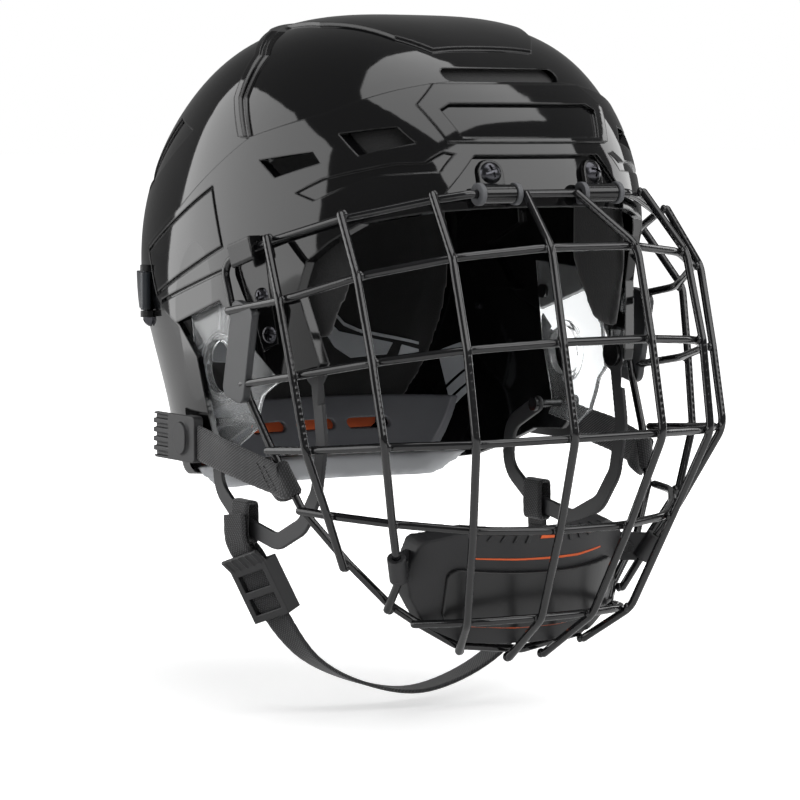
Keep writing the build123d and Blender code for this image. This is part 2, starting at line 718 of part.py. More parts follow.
def make_ear_slings():
    """Flexible loops below the ears and the studs that hold them."""
    band = flat_band(scaled(sling_shares), sling_bend, sling_width)
    sling = Plane.YZ.offset(-sling_out) * extrude(band, amount=sling_wall)
    middle = -sling_out + sling_wall / 2
    ring_back, ring_up = scaled(sling_shares)[0]
    end_back, end_up = scaled(sling_shares)[-1]
    sling += rod((middle, ring_back, ring_up), (1, 0, 0), sling_ring_d, sling_wall)
    sling -= rod((middle, ring_back, ring_up), (1, 0, 0), sling_ring_hole_d, overrun)
    sling -= rod((middle, end_back, end_up), (1, 0, 0), sling_end_hole_d, overrun)
    trim = side_rod(ring_back, ring_up, 2 * sling_ring_d) - skin(-shell_wall - seat_gap)
    sling -= trim
    inner = -sling_out + sling_wall
    studs = []
    for back, up, shank_d, head_d, wall in (
            (ring_back, ring_up, sling_stud_d, sling_stud_head_d, shell_wall),
            (end_back, end_up, ear_stud_d, ear_stud_head_d, ear_guard_out + ear_guard_wall)):
        shank = side_rod(back, up, shank_d) & box_between((-reach, -reach, -reach), (inner, reach, reach))
        head = rod((inner + sling_stud_head / 2, back, up), (1, 0, 0), head_d, sling_stud_head)
        studs.append((shank & skin(-wall)) + head)
    return {"ear_sling_right": sling, "ear_sling_left": mirrored(sling), "ear_sling_studs": pair(studs)}


def strap_frames():
    """Return the chin strap's frames from its loose end to the wearer's left sling."""
    places = [worn_place(shares[:3]) for shares in strap_shares]
    widths = [Vector(side, back, 0) for side, back in (shares[3:] for shares in strap_shares)]
    return ribbon_frames(places, widths)


def strap_eye():
    """Return the webbing that goes round the left sling."""
    inner_width = sling_wall + 2 * strap_loop_clear
    outer = RectangleRounded(inner_width + 2 * strap_wall, strap_loop_tall + 2 * strap_wall, strap_wall + strap_loop_clear)
    inner = RectangleRounded(inner_width, strap_loop_tall, strap_loop_clear)
    centre = worn_place(strap_loop_place_shares)
    face = Plane.XZ * (outer - inner)
    return Pos(sling_out - sling_wall / 2, centre.Y + strap_width / 2, centre.Z) * extrude(face, amount=strap_width)


def slider_frame(frames):
    """Return a plane halfway along the slider, X along the run and Z away from the face."""
    upper, lower = frames[2], frames[3]
    run = (lower.origin - upper.origin).normalized()
    across = (upper.x_dir + lower.x_dir).normalized()
    outward = across.cross(run).normalized()
    if outward.X > 0:
        outward = outward * -1
    return Plane(origin=(upper.origin + lower.origin) / 2, x_dir=run, z_dir=outward)


def make_chin_strap():
    """Webbing under the chin, the short strap round the right sling and the slider that joins them."""
    frames = strap_frames()
    strap = ribbon(frames, strap_width, strap_wall) + strap_eye()
    centre = slider_frame(frames)
    inward = centre.z_dir * -(strap_wall + strap_apart)
    eye = mirrored(strap_eye())
    top = worn_place(strap_loop_place_shares)
    low = top.Z - strap_loop_tall / 2 - strap_wall / 2
    turned_side, turned_back = short_strap_turn_shares
    places = [Vector(-top.X, top.Y, low), Vector(-top.X, top.Y, low - short_strap_drop)]
    places += [frames[2].origin + inward - centre.x_dir * short_strap_drop, frames[3].origin + inward]
    across = (frames[2].x_dir + frames[3].x_dir).normalized()
    widths = [Vector(0, 1, 0), Vector(turned_side, turned_back, 0), across, across]
    short = ribbon(ribbon_frames(places, widths), strap_width, strap_wall, straight=True) + eye
    return {"chin_strap": strap, "short_strap": short, "strap_slider": make_slider(centre)}


def make_slider(centre):
    """A ladder slider: a frame with three bars and a ribbed lip to pull."""
    passage = 2 * strap_wall + strap_apart + 2 * strap_clear
    middle = centre * Pos(0, 0, -(strap_wall + strap_apart) / 2)
    frame = middle * Box(slider_length, slider_width, passage + 2 * slider_wall)
    frame -= middle * Box(overrun, strap_width + 2 * strap_clear, passage)
    window = (slider_length - 3 * slider_bar) / 2
    for side in (-1, 1):
        frame -= middle * Pos(side * (window + slider_bar) / 2, 0, 0) * Box(window, strap_width, overrun)
    outside = (passage + slider_wall) / 2
    lip = Pos(-slider_length / 2, 0, outside) * Rot(0, slider_lip_turn, 0)
    plate = lip * Pos(-slider_lip / 2, 0, 0) * Box(slider_lip, slider_width, slider_wall)
    for count in range(slider_rib_count):
        place = (count - (slider_rib_count - 1) / 2) * slider_width / slider_rib_count
        rib = Pos(-slider_lip / 2, place, slider_wall / 2) * Rot(0, 90, 0) * Cylinder(slider_rib_d / 2, slider_lip)
        plate += lip * rib
    corner = lip * Rot(90, 0, 0) * Cylinder(slider_wall / 2, slider_width)
    return frame + middle * (plate + corner)


def plan_block(half_width, forward, bulge, back):
    """Return an upright block between an arc, seen from above, and a straight back."""
    arc = ThreePointArc((-half_width, -forward, 0), (0, -forward - bulge, 0), (half_width, -forward, 0))
    rest = Polyline((half_width, -forward, 0), (half_width, -back, 0), (-half_width, -back, 0), (-half_width, -forward, 0))
    return Pos(0, 0, -reach) * extrude(make_face(arc + rest), amount=reach, dir=(0, 0, 1))


def cup_outline(inset):
    """Return the chin cup's front outline as a block, set in from its edge."""
    low = cup_top - cup_height
    half = [(side * cup_half_width, 0, low + up * cup_height) for side, up in cup_outline_shares]
    other = [(-side, back, up) for side, back, up in reversed(half)]
    face = make_face(Polyline(*(half + other), close=True))
    face = fillet(face.vertices(), cup_corner)
    if inset:
        face = grown(face, -inset)
    return extrude(face, amount=reach, dir=(0, -1, 0))


def make_chin_cup():
    """Moulded chin cup with a soft liner and a raised front plate."""
    back = cup_forward - cup_wall
    inner_width = cup_half_width - cup_end_wall
    outer = plan_block(cup_half_width, cup_forward, cup_bulge, back)
    inner = plan_block(inner_width, back, cup_bulge, 0)
    cup = (outer & cup_outline(0)) - inner
    behind = back - seat_gap
    soft = plan_block(inner_width - seat_gap, behind, cup_bulge, behind - cup_liner)
    soft -= plan_block(inner_width, behind - cup_liner, cup_bulge, 0)
    soft &= cup_outline(cup_end_wall)
    ahead = cup_forward + seat_gap
    proud = plan_block(cup_half_width, ahead + cup_plate_wall, cup_bulge, ahead)
    proud -= plan_block(cup_half_width, ahead, cup_bulge, 0)
    face = Plane.XZ * RectangleRounded(2 * cup_plate_half_width, cup_plate_height, cup_plate_corner)
    plate = proud & (Pos(0, 0, cup_plate_middle) * extrude(face, amount=reach))
    leaned = Pos(0, -cup_forward, cup_top) * Rot(cup_lean, 0, 0) * Pos(0, cup_forward, -cup_top)
    groove = bent_wire(rim_places(), temple_bend, wire_d + 2 * seat_gap)
    cup = leaned * cup - groove - mirrored(groove)
    return {"chin_cup": cup, "chin_cup_liner": leaned * soft, "chin_cup_plate": leaned * plate}


def make_chin_brackets():
    """Sleeves on the third uprights with a tab into each side of the chin cup."""
    places = [Vector(*moved_outward(cage_place(place), weld_offset)) for place in vertical_shares[2][4:6]]
    heading = (places[1] - places[0]).normalized()
    middle = places[0] + (places[1] - places[0]) * cup_bracket_share
    sleeve = rod(middle, heading, cup_bracket_sleeve_d, cup_bracket_length)
    bore = rod(middle, heading, wire_d, overrun)
    side_end = -cup_half_width + cup_end_wall
    half = cup_bracket_length / 2
    cup_side = Vector(side_end, (cup_top - middle.Z) * tan(radians(cup_lean)) - cup_forward + cup_wall / 2, middle.Z)
    outline = Polyline((middle.X, middle.Y, 0), (cup_side.X, cup_side.Y, 0))
    tab = Plane.XY * offset(outline, cup_bracket_tab / 2, side=Side.BOTH)
    tab = Pos(0, 0, middle.Z - half) * extrude(make_face(tab), amount=cup_bracket_length)
    bracket = (sleeve + (tab - make_chin_cup()["chin_cup"])) - bore
    run = (cup_side - middle).normalized()
    rivet = rod((cup_side + middle) / 2, run.cross(Vector(0, 0, 1)), cup_rivet_d, cup_bracket_tab + 2 * cup_rivet_proud)
    return {
        "chin_bracket_right": bracket,
        "chin_bracket_left": mirrored(bracket),
        "chin_rivets": pair([rivet - tab]),
    }


def make_cage_tags():
    """Plain plates moulded on the side wires."""
    face = Plane.YZ * (Rot(0, 0, 90 + tag_lean) * RectangleRounded(tag_length, tag_width, tag_corner))
    tag = Pos(-tag_out - tag_wall, tag_back, tag_up) * extrude(face, amount=tag_wall)
    return {"cage_tag_right": tag, "cage_tag_left": mirrored(tag)}


def make_harness():
    """Webbing from a loop round the rim wire back to the quick-release clip."""
    upper, lower = (Vector(*place) for place in rim_places()[8:10])
    along_wire = (upper - lower).normalized()
    loop = lower + (upper - lower) * harness_loop_share
    ring_d = wire_d + 2 * (pivot_gap + harness_wall)
    ring = rod(loop, along_wire, ring_d, harness_width) - rod(loop, along_wire, wire_d + 2 * pivot_gap, overrun)
    rear = Vector(-harness_back[0], harness_back[1], harness_back[2])
    middle = Vector(-harness_middle[0], harness_middle[1], harness_middle[2])
    outward = along_wire.cross(rear - loop).normalized()
    if outward.X > 0:
        outward = outward * -1
    front = loop + outward * (ring_d - harness_wall) / 2
    frames = ribbon_frames([front, middle, rear], [along_wire, along_wire + Vector(0, 0, 1), Vector(0, 0, 1)])
    strap = ribbon(frames, harness_width, harness_wall) - rod(loop, along_wire, wire_d + 2 * pivot_gap, overrun)
    return {"harness_strap_right": strap + ring, "harness_strap_left": mirrored(strap + ring)}


def make_release_clips():
    """Ribbed clips at the ends of the harness straps and the anchors on the rear shell."""
    outer = -clip_out - clip_wall
    face = side_face([(clip_front_end, clip_bottom), (clip_back_end, clip_bottom), (clip_back_end, clip_top),
                      (clip_front_end, clip_top)], outer)
    clip = extrude(fillet(face.vertices(), clip_wall / 2), amount=clip_wall, dir=(1, 0, 0))
    spacing = (clip_top - clip_bottom) / clip_rib_count
    for count in range(clip_rib_count):
        place = clip_bottom + (count + 1 / 2) * spacing
        clip -= box_between((outer, clip_back_end - clip_rib_length, place - clip_rib_width / 2),
                            (outer + clip_rib_depth, clip_back_end, place + clip_rib_width / 2))
    face = Plane.YZ * (Rot(0, 0, 90) * SlotOverall(clip_pad_long, clip_pad_wide))
    clip += Pos(outer - clip_pad_proud, clip_pad_back, (clip_top + clip_bottom) / 2) * extrude(face, amount=clip_pad_proud)
    corner_back = anchor_back - anchor_head_d / 2 - anchor_gap
    corner_up = anchor_up - anchor_head_d / 2 - anchor_gap
    clip -= box_between((outer + pocket_skin, corner_back, corner_up), (0, reach, reach))
    end = outer + pocket_skin + anchor_gap
    stud = side_rod(anchor_back, anchor_up, anchor_d) & box_between((end, -reach, -reach), (0, reach, reach))
    head = rod((end + anchor_head / 2, anchor_back, anchor_up), (1, 0, 0), anchor_head_d, anchor_head)
    anchor = (stud - skin(-shell_wall / 2)) + head
    return {
        "release_clip_right": clip,
        "release_clip_left": mirrored(clip),
        "clip_anchors": pair([anchor]),
    }


def make_size_locks():
    """Levers that lock the two shells together, on pins between lugs."""
    low, high = lock_middle_up - lock_tall / 2, lock_middle_up + lock_tall / 2
    pivot = Vector(-lock_pivot_out, lock_pivot_back, lock_middle_up)
    block = box_between((-reach, lock_pivot_back, low), (0, lock_pivot_back + lock_length, high))
    lever = coat(block, lock_wall + 2 * seat_gap, 2 * seat_gap)
    lever += rod(pivot, (0, 0, 1), lock_knuckle_d, lock_tall)
    lever = lever - skin(seat_gap) - rod(pivot, (0, 0, 1), lock_pin_d + 2 * pivot_gap, reach)
    total = lock_tall + 2 * (lock_lug + lock_lug_gap)
    pin = rod(pivot, (0, 0, 1), lock_pin_d, total)
    lugs = []
    for side in (-1, 1):
        place = lock_middle_up + side * (lock_tall / 2 + lock_lug_gap + lock_lug / 2)
        lug = rod((pivot.X, pivot.Y, place), (0, 0, 1), lock_knuckle_d, lock_lug)
        lug += box_between((pivot.X, pivot.Y - lock_knuckle_d / 2, place - lock_lug / 2),
                           (pivot.X + lock_lug_depth, pivot.Y + lock_knuckle_d / 2, place + lock_lug / 2))
        lugs.append(lug - skin(seat_gap) - pin)
    head = coat(side_rod(lock_screw_back, lock_screw_up, shell_screw_head_d), seat_gap + shell_screw_head, seat_gap)
    screw = head + coat(side_rod(lock_screw_back, lock_screw_up, shell_screw_d), seat_gap, -shell_screw_depth)
    return {
        "size_lock_right": lever,
        "size_lock_left": mirrored(lever),
        "size_lock_pins": pair([pin]),
        "size_lock_lugs": pair(lugs),
        "rear_shell_screws": pair([screw]),
    }


def make_all():
    """Return every node by name."""
    nodes = {}
    for make in (make_shells, make_liners, make_occiput, make_ear_guards, make_brow_clips, make_temple_brackets,
                 make_ear_slings, make_chin_strap, make_cage, make_chin_cup, make_chin_brackets, make_cage_tags,
                 make_harness, make_release_clips, make_size_locks):
        nodes.update(make())
    return nodes


if __name__ == "__main__":
    os.makedirs("parts", exist_ok=True)
    for name, shape in make_all().items():
        export_step(shape, os.path.join("parts", name + ".step"))
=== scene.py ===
"""Dresses the ice hockey helmet with a full wire cage: its finishes, padding, webbing, studio and camera."""

from __future__ import annotations

import logging
import math
from dataclasses import dataclass, field
from enum import Enum

import bmesh
import bpy
import numpy as np
from mathutils import Matrix, Vector


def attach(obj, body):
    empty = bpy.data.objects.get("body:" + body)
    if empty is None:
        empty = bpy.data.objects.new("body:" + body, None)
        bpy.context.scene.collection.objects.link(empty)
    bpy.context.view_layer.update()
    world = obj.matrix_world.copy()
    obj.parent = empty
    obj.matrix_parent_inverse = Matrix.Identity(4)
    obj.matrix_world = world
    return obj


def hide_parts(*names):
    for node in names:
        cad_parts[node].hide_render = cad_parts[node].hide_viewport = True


LOG = logging.getLogger("helmet")
MM = 0.001
MERGE_REACH = 0.01 * MM

Place = tuple[float, float, float]
Pair = tuple[float, float]


class Body(Enum):
    """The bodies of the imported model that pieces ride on."""

    FRONT = "front_shell"
    REAR = "rear_shell"
    CAGE = "cage"
    LOCK_RIGHT = "size_lock_right"
    LOCK_LEFT = "size_lock_left"


# Small helpers


def both(name: str) -> tuple[str, str]:
    """Return the names of a piece on the wearer's right and of its twin on the left."""
    return (f"{name}_right", f"{name}_left")


def linear(hex_colour: str) -> tuple[float, float, float, float]:
    """Turn an sRGB hex colour into linear values.

    Args:
        hex_colour: The colour, such as "#1a1a1b".

    Returns:
        Red, green, blue and an alpha of one.
    """
    parts = [int(hex_colour[place : place + 2], 16) / 255 for place in (1, 3, 5)]
    values = [part / 12.92 if part <= 0.04045 else ((part + 0.055) / 1.055) ** 2.4 for part in parts]
    return (values[0], values[1], values[2], 1.0)


def add_node(
    tree: bpy.types.NodeTree, kind: str, settings: dict | None = None, links: dict | None = None
) -> bpy.types.Node:
    """Add one shader node with its settings and links.

    Args:
        tree: The node tree that it joins.
        kind: Blender's name of the node type.
        settings: Values by attribute name, or by input name or number.
        links: Output sockets by the name or number of the input that they feed.

    Returns:
        The new node.
    """
    made = tree.nodes.new(kind)
    for name, value in (settings or {}).items():
        if isinstance(name, str) and hasattr(made, name):
            setattr(made, name, value)
        else:
            made.inputs[name].default_value = value
    for name, socket in (links or {}).items():
        tree.links.new(socket, made.inputs[name])
    return made


def select_only(piece: bpy.types.Object) -> None:
    """Make a piece the active object and the only one selected."""
    bpy.ops.object.select_all(action="DESELECT")
    piece.hide_set(False)
    piece.select_set(True)
    bpy.context.view_layer.objects.active = piece


def add_object(name: str, data: bpy.types.ID) -> bpy.types.Object:
    """Put data into the scene as a new object."""
    made = bpy.data.objects.new(name, data)
    bpy.context.scene.collection.objects.link(made)
    return made


def apply_modifier(piece: bpy.types.Object, kind: str, **settings: object) -> None:
    """Give the active piece a modifier and apply it.

    Args:
        piece: The piece, which is the active one.
        kind: Blender's name of the modifier type.
        settings: The modifier's values by attribute name.
    """
    modifier = piece.modifiers.new(kind.lower(), kind)
    for name, value in settings.items():
        setattr(modifier, name, value)
    bpy.ops.object.modifier_apply(modifier=modifier.name)


def edit_all() -> None:
    """Enter edit mode on the active piece with all of its mesh selected."""
    bpy.ops.object.mode_set(mode="EDIT")
    bpy.ops.mesh.select_all(action="SELECT")


def leave_edit() -> None:
    """Go back to object mode."""
    bpy.ops.object.mode_set(mode="OBJECT")


def dress(piece: bpy.types.Object, material: bpy.types.Material) -> None:
    """Give a piece one material in every slot."""
    if not piece.material_slots:
        piece.data.materials.append(material)
    for slot in piece.material_slots:
        slot.material = material


# Finishes


def start_material(name: str) -> bpy.types.Material:
    """Return a new material whose node tree is empty."""
    material = bpy.data.materials.new(name)
    material.use_nodes = True
    material.node_tree.nodes.clear()
    return material


@dataclass(frozen=True)
class Moulded:
    """A moulded plastic or rubber, whose tool leaves a fine grain and a slight unevenness of gloss."""

    name: str
    colour: str
    worn_colour: str
    roughness: float
    roughness_spread: float
    grain_mm: float
    grain_depth_mm: float
    wave_mm: float = 30.0
    ior: float = 1.5
    edge_mm: float = 0.5

    def build(self) -> bpy.types.Material:
        """Make the material.

        Returns:
            The material, with its pattern on Object coordinates.
        """
        material = start_material(self.name)
        tree = material.node_tree
        out = add_node(tree, "ShaderNodeOutputMaterial")
        shader = add_node(tree, "ShaderNodeBsdfPrincipled", {"IOR": self.ior})
        place = add_node(tree, "ShaderNodeTexCoord")
        slow = add_node(
            tree,
            "ShaderNodeTexNoise",
            {"Scale": 1 / (self.wave_mm * MM), "Detail": 3.0},
            {"Vector": place.outputs["Object"]},
        )
        fine = add_node(
            tree,
            "ShaderNodeTexNoise",
            {"Scale": 1 / (self.grain_mm * MM), "Detail": 2.0},
            {"Vector": place.outputs["Object"]},
        )
        tone = add_node(
            tree,
            "ShaderNodeMix",
            {"data_type": "RGBA", 6: linear(self.colour), 7: linear(self.worn_colour)},
            {0: slow.outputs["Fac"]},
        )
        gloss = add_node(
            tree,
            "ShaderNodeMapRange",
            {"To Min": self.roughness - self.roughness_spread, "To Max": self.roughness + self.roughness_spread},
            {"Value": slow.outputs["Fac"]},
        )
        edge = add_node(tree, "ShaderNodeBevel", {"samples": 4, "Radius": self.edge_mm * MM})
        bump = add_node(
            tree,
            "ShaderNodeBump",
            {"Strength": 0.6, "Distance": self.grain_depth_mm * MM},
            {"Height": fine.outputs["Fac"], "Normal": edge.outputs["Normal"]},
        )
        tree.links.new(tone.outputs[2], shader.inputs["Base Color"])
        tree.links.new(gloss.outputs["Result"], shader.inputs["Roughness"])
        tree.links.new(bump.outputs["Normal"], shader.inputs["Normal"])
        tree.links.new(shader.outputs[0], out.inputs["Surface"])
        return material


@dataclass(frozen=True)
class ClearSheet:
    """Moulded clear plastic sheet, with soft scuffs."""

    name: str
    colour: str
    roughness: float
    scuff_mm: float = 9.0
    clearness: float = 0.92
    ior: float = 1.3

    def build(self) -> bpy.types.Material:
        """Make the material.

        Returns:
            A clear, thin-looking material with its scuffs on Object coordinates.
        """
        material = start_material(self.name)
        tree = material.node_tree
        out = add_node(tree, "ShaderNodeOutputMaterial")
        shader = add_node(
            tree,
            "ShaderNodeBsdfPrincipled",
            {"IOR": self.ior, "Transmission Weight": self.clearness, "Base Color": linear(self.colour)},
        )
        place = add_node(tree, "ShaderNodeTexCoord")
        scuff = add_node(
            tree,
            "ShaderNodeTexNoise",
            {"Scale": 1 / (self.scuff_mm * MM), "Detail": 5.0},
            {"Vector": place.outputs["Object"]},
        )
        gloss = add_node(
            tree,
            "ShaderNodeMapRange",
            {"To Min": self.roughness * 0.6, "To Max": self.roughness * 1.6},
            {"Value": scuff.outputs["Fac"]},
        )
        tree.links.new(gloss.outputs["Result"], shader.inputs["Roughness"])
        tree.links.new(shader.outputs[0], out.inputs["Surface"])
        return material


@dataclass(frozen=True)
class CoatedSteel:
    """Steel wire dipped in glossy epoxy, which flows thin over the round and thick at the welds."""

    name: str
    colour: str
    thin_colour: str
    roughness: float
    flow_mm: float = 14.0
    peel_mm: float = 2.2
    peel_depth_mm: float = 0.05
    coat: float = 0.15
    coat_roughness: float = 0.05

    def build(self) -> bpy.types.Material:
        """Make the material.

        Returns:
            A dark base under a smooth clear coat with a slow orange-peel ripple.
        """
        material = start_material(self.name)
        tree = material.node_tree
        out = add_node(tree, "ShaderNodeOutputMaterial")
        shader = add_node(
            tree,
            "ShaderNodeBsdfPrincipled",
            {"IOR": 1.5, "Coat Weight": self.coat, "Coat Roughness": self.coat_roughness},
        )
        place = add_node(tree, "ShaderNodeTexCoord")
        slow = add_node(
            tree,
            "ShaderNodeTexNoise",
            {"Scale": 1 / (self.flow_mm * MM), "Detail": 2.0},
            {"Vector": place.outputs["Object"]},
        )
        peel = add_node(
            tree,
            "ShaderNodeTexNoise",
            {"Scale": 1 / (self.peel_mm * MM), "Detail": 1.0},
            {"Vector": place.outputs["Object"]},
        )
        tone = add_node(
            tree,
            "ShaderNodeMix",
            {"data_type": "RGBA", 6: linear(self.colour), 7: linear(self.thin_colour)},
            {0: slow.outputs["Fac"]},
        )
        gloss = add_node(
            tree,
            "ShaderNodeMapRange",
            {"To Min": self.roughness * 0.7, "To Max": self.roughness * 1.4},
            {"Value": slow.outputs["Fac"]},
        )
        bump = add_node(
            tree,
            "ShaderNodeBump",
            {"Strength": 0.25, "Distance": self.peel_depth_mm * MM},
            {"Height": peel.outputs["Fac"]},
        )
        tree.links.new(tone.outputs[2], shader.inputs["Base Color"])
        tree.links.new(gloss.outputs["Result"], shader.inputs["Roughness"])
        tree.links.new(bump.outputs["Normal"], shader.inputs["Normal"])
        tree.links.new(shader.outputs[0], out.inputs["Surface"])
        return material


@dataclass(frozen=True)
class PlatedScrew:
    """Blackened zinc-plated steel: a real metal, dark, with fine machining marks."""

    name: str
    colour: str
    roughness: float
    mark_mm: float = 0.8
    mark_depth_mm: float = 0.03
    edge_mm: float = 0.3

    def build(self) -> bpy.types.Material:
        """Make the material.

        Returns:
            A dark metal with fine marks on Object coordinates.
        """
        material = start_material(self.name)
        tree = material.node_tree
        out = add_node(tree, "ShaderNodeOutputMaterial")
        shader = add_node(tree, "ShaderNodeBsdfPrincipled", {"Metallic": 1.0, "Base Color": linear(self.colour)})
        place = add_node(tree, "ShaderNodeTexCoord")
        marks = add_node(
            tree,
            "ShaderNodeTexNoise",
            {"Scale": 1 / (self.mark_mm * MM), "Detail": 4.0},
            {"Vector": place.outputs["Object"]},
        )
        gloss = add_node(
            tree,
            "ShaderNodeMapRange",
            {"To Min": self.roughness * 0.7, "To Max": self.roughness * 1.5},
            {"Value": marks.outputs["Fac"]},
        )
        edge = add_node(tree, "ShaderNodeBevel", {"samples": 4, "Radius": self.edge_mm * MM})
        bump = add_node(
            tree,
            "ShaderNodeBump",
            {"Strength": 0.3, "Distance": self.mark_depth_mm * MM},
            {"Height": marks.outputs["Fac"], "Normal": edge.outputs["Normal"]},
        )
        tree.links.new(gloss.outputs["Result"], shader.inputs["Roughness"])
        tree.links.new(bump.outputs["Normal"], shader.inputs["Normal"])
        tree.links.new(shader.outputs[0], out.inputs["Surface"])
        return material


@dataclass(frozen=True)
class Foam:
    """Closed-cell foam with a soft brushed skin: matt, with small pores."""

    name: str
    colour: str
    pore_colour: str
    cell_mm: float = 0.9
    cell_depth_mm: float = 0.25
    cloud_mm: float = 18.0
    roughness: float = 0.85

    def build(self) -> bpy.types.Material:
        """Make the material.

        Returns:
            A matt material with cells on Object coordinates.
        """
        material = start_material(self.name)
        tree = material.node_tree
        out = add_node(tree, "ShaderNodeOutputMaterial")
        shader = add_node(
            tree,
            "ShaderNodeBsdfPrincipled",
            {"Roughness": self.roughness, "Sheen Weight": 0.25, "Sheen Roughness": 0.5},
        )
        place = add_node(tree, "ShaderNodeTexCoord")
        cells = add_node(
            tree, "ShaderNodeTexVoronoi", {"Scale": 1 / (self.cell_mm * MM)}, {"Vector": place.outputs["Object"]}
        )
        slow = add_node(
            tree,
            "ShaderNodeTexNoise",
            {"Scale": 1 / (self.cloud_mm * MM), "Detail": 3.0},
            {"Vector": place.outputs["Object"]},
        )
        tone = add_node(
            tree,
            "ShaderNodeMix",
            {"data_type": "RGBA", 6: linear(self.pore_colour), 7: linear(self.colour)},
            {0: slow.outputs["Fac"]},
        )
        bump = add_node(
            tree,
            "ShaderNodeBump",
            {"Strength": 0.5, "Distance": self.cell_depth_mm * MM},
            {"Height": cells.outputs["Distance"]},
        )
        tree.links.new(tone.outputs[2], shader.inputs["Base Color"])
        tree.links.new(bump.outputs["Normal"], shader.inputs["Normal"])
        tree.links.new(shader.outputs[0], out.inputs["Surface"])
        return material


@dataclass(frozen=True)
class Webbing:
    """Woven polyester webbing, whose twill shows as short slanted yarns across its width, the raised yarns painted
    lighter as a painted sheen.

    The pattern follows the piece's UV map, in metres: U along the width and V along the run.
    """

    name: str
    colour: str
    painted_sheen_colour: str
    yarn_mm: float = 1.1
    yarn_depth_mm: float = 0.3
    slant: float = 38.0

    def build(self) -> bpy.types.Material:
        """Make the material.

        Returns:
            A matt woven material, its yarns drawn a little coarser than real ones so that they show, and the raised
            yarns painted lighter as a painted sheen.
        """
        material = start_material(self.name)
        tree = material.node_tree
        out = add_node(tree, "ShaderNodeOutputMaterial")
        shader = add_node(
            tree, "ShaderNodeBsdfPrincipled", {"Roughness": 0.72, "Sheen Weight": 0.4, "Sheen Roughness": 0.4}
        )
        place = add_node(tree, "ShaderNodeTexCoord")
        turn = add_node(
            tree,
            "ShaderNodeMapping",
            {"Rotation": (0.0, 0.0, math.radians(self.slant)), "Scale": (1 / MM,) * 3},
            {"Vector": place.outputs["UV"]},
        )
        twill = add_node(
            tree,
            "ShaderNodeTexWave",
            {"Scale": 1 / self.yarn_mm / 3.2, "Distortion": 0.6, "Detail": 1.0, "Detail Scale": 2.0},
            {"Vector": turn.outputs["Vector"]},
        )
        across = add_node(
            tree,
            "ShaderNodeMapping",
            {"Rotation": (0.0, 0.0, math.radians(90)), "Scale": (1 / MM,) * 3},
            {"Vector": place.outputs["UV"]},
        )
        weft = add_node(
            tree,
            "ShaderNodeTexWave",
            {"Scale": 1 / self.yarn_mm / 2.4, "Distortion": 0.3},
            {"Vector": across.outputs["Vector"]},
        )
        height = add_node(
            tree, "ShaderNodeMath", {"operation": "MULTIPLY"}, {0: twill.outputs["Fac"], 1: weft.outputs["Fac"]}
        )
        # Painted sheen: the raised yarns are painted lighter than the black webbing.
        tone = add_node(
            tree,
            "ShaderNodeMix",
            {"data_type": "RGBA", 6: linear(self.colour), 7: linear(self.painted_sheen_colour)},
            {0: height.outputs["Value"]},
        )
        bump = add_node(
            tree,
            "ShaderNodeBump",
            {"Strength": 0.7, "Distance": self.yarn_depth_mm * MM},
            {"Height": height.outputs["Value"]},
        )
        tree.links.new(tone.outputs[2], shader.inputs["Base Color"])
        tree.links.new(bump.outputs["Normal"], shader.inputs["Normal"])
        tree.links.new(shader.outputs[0], out.inputs["Surface"])
        return material


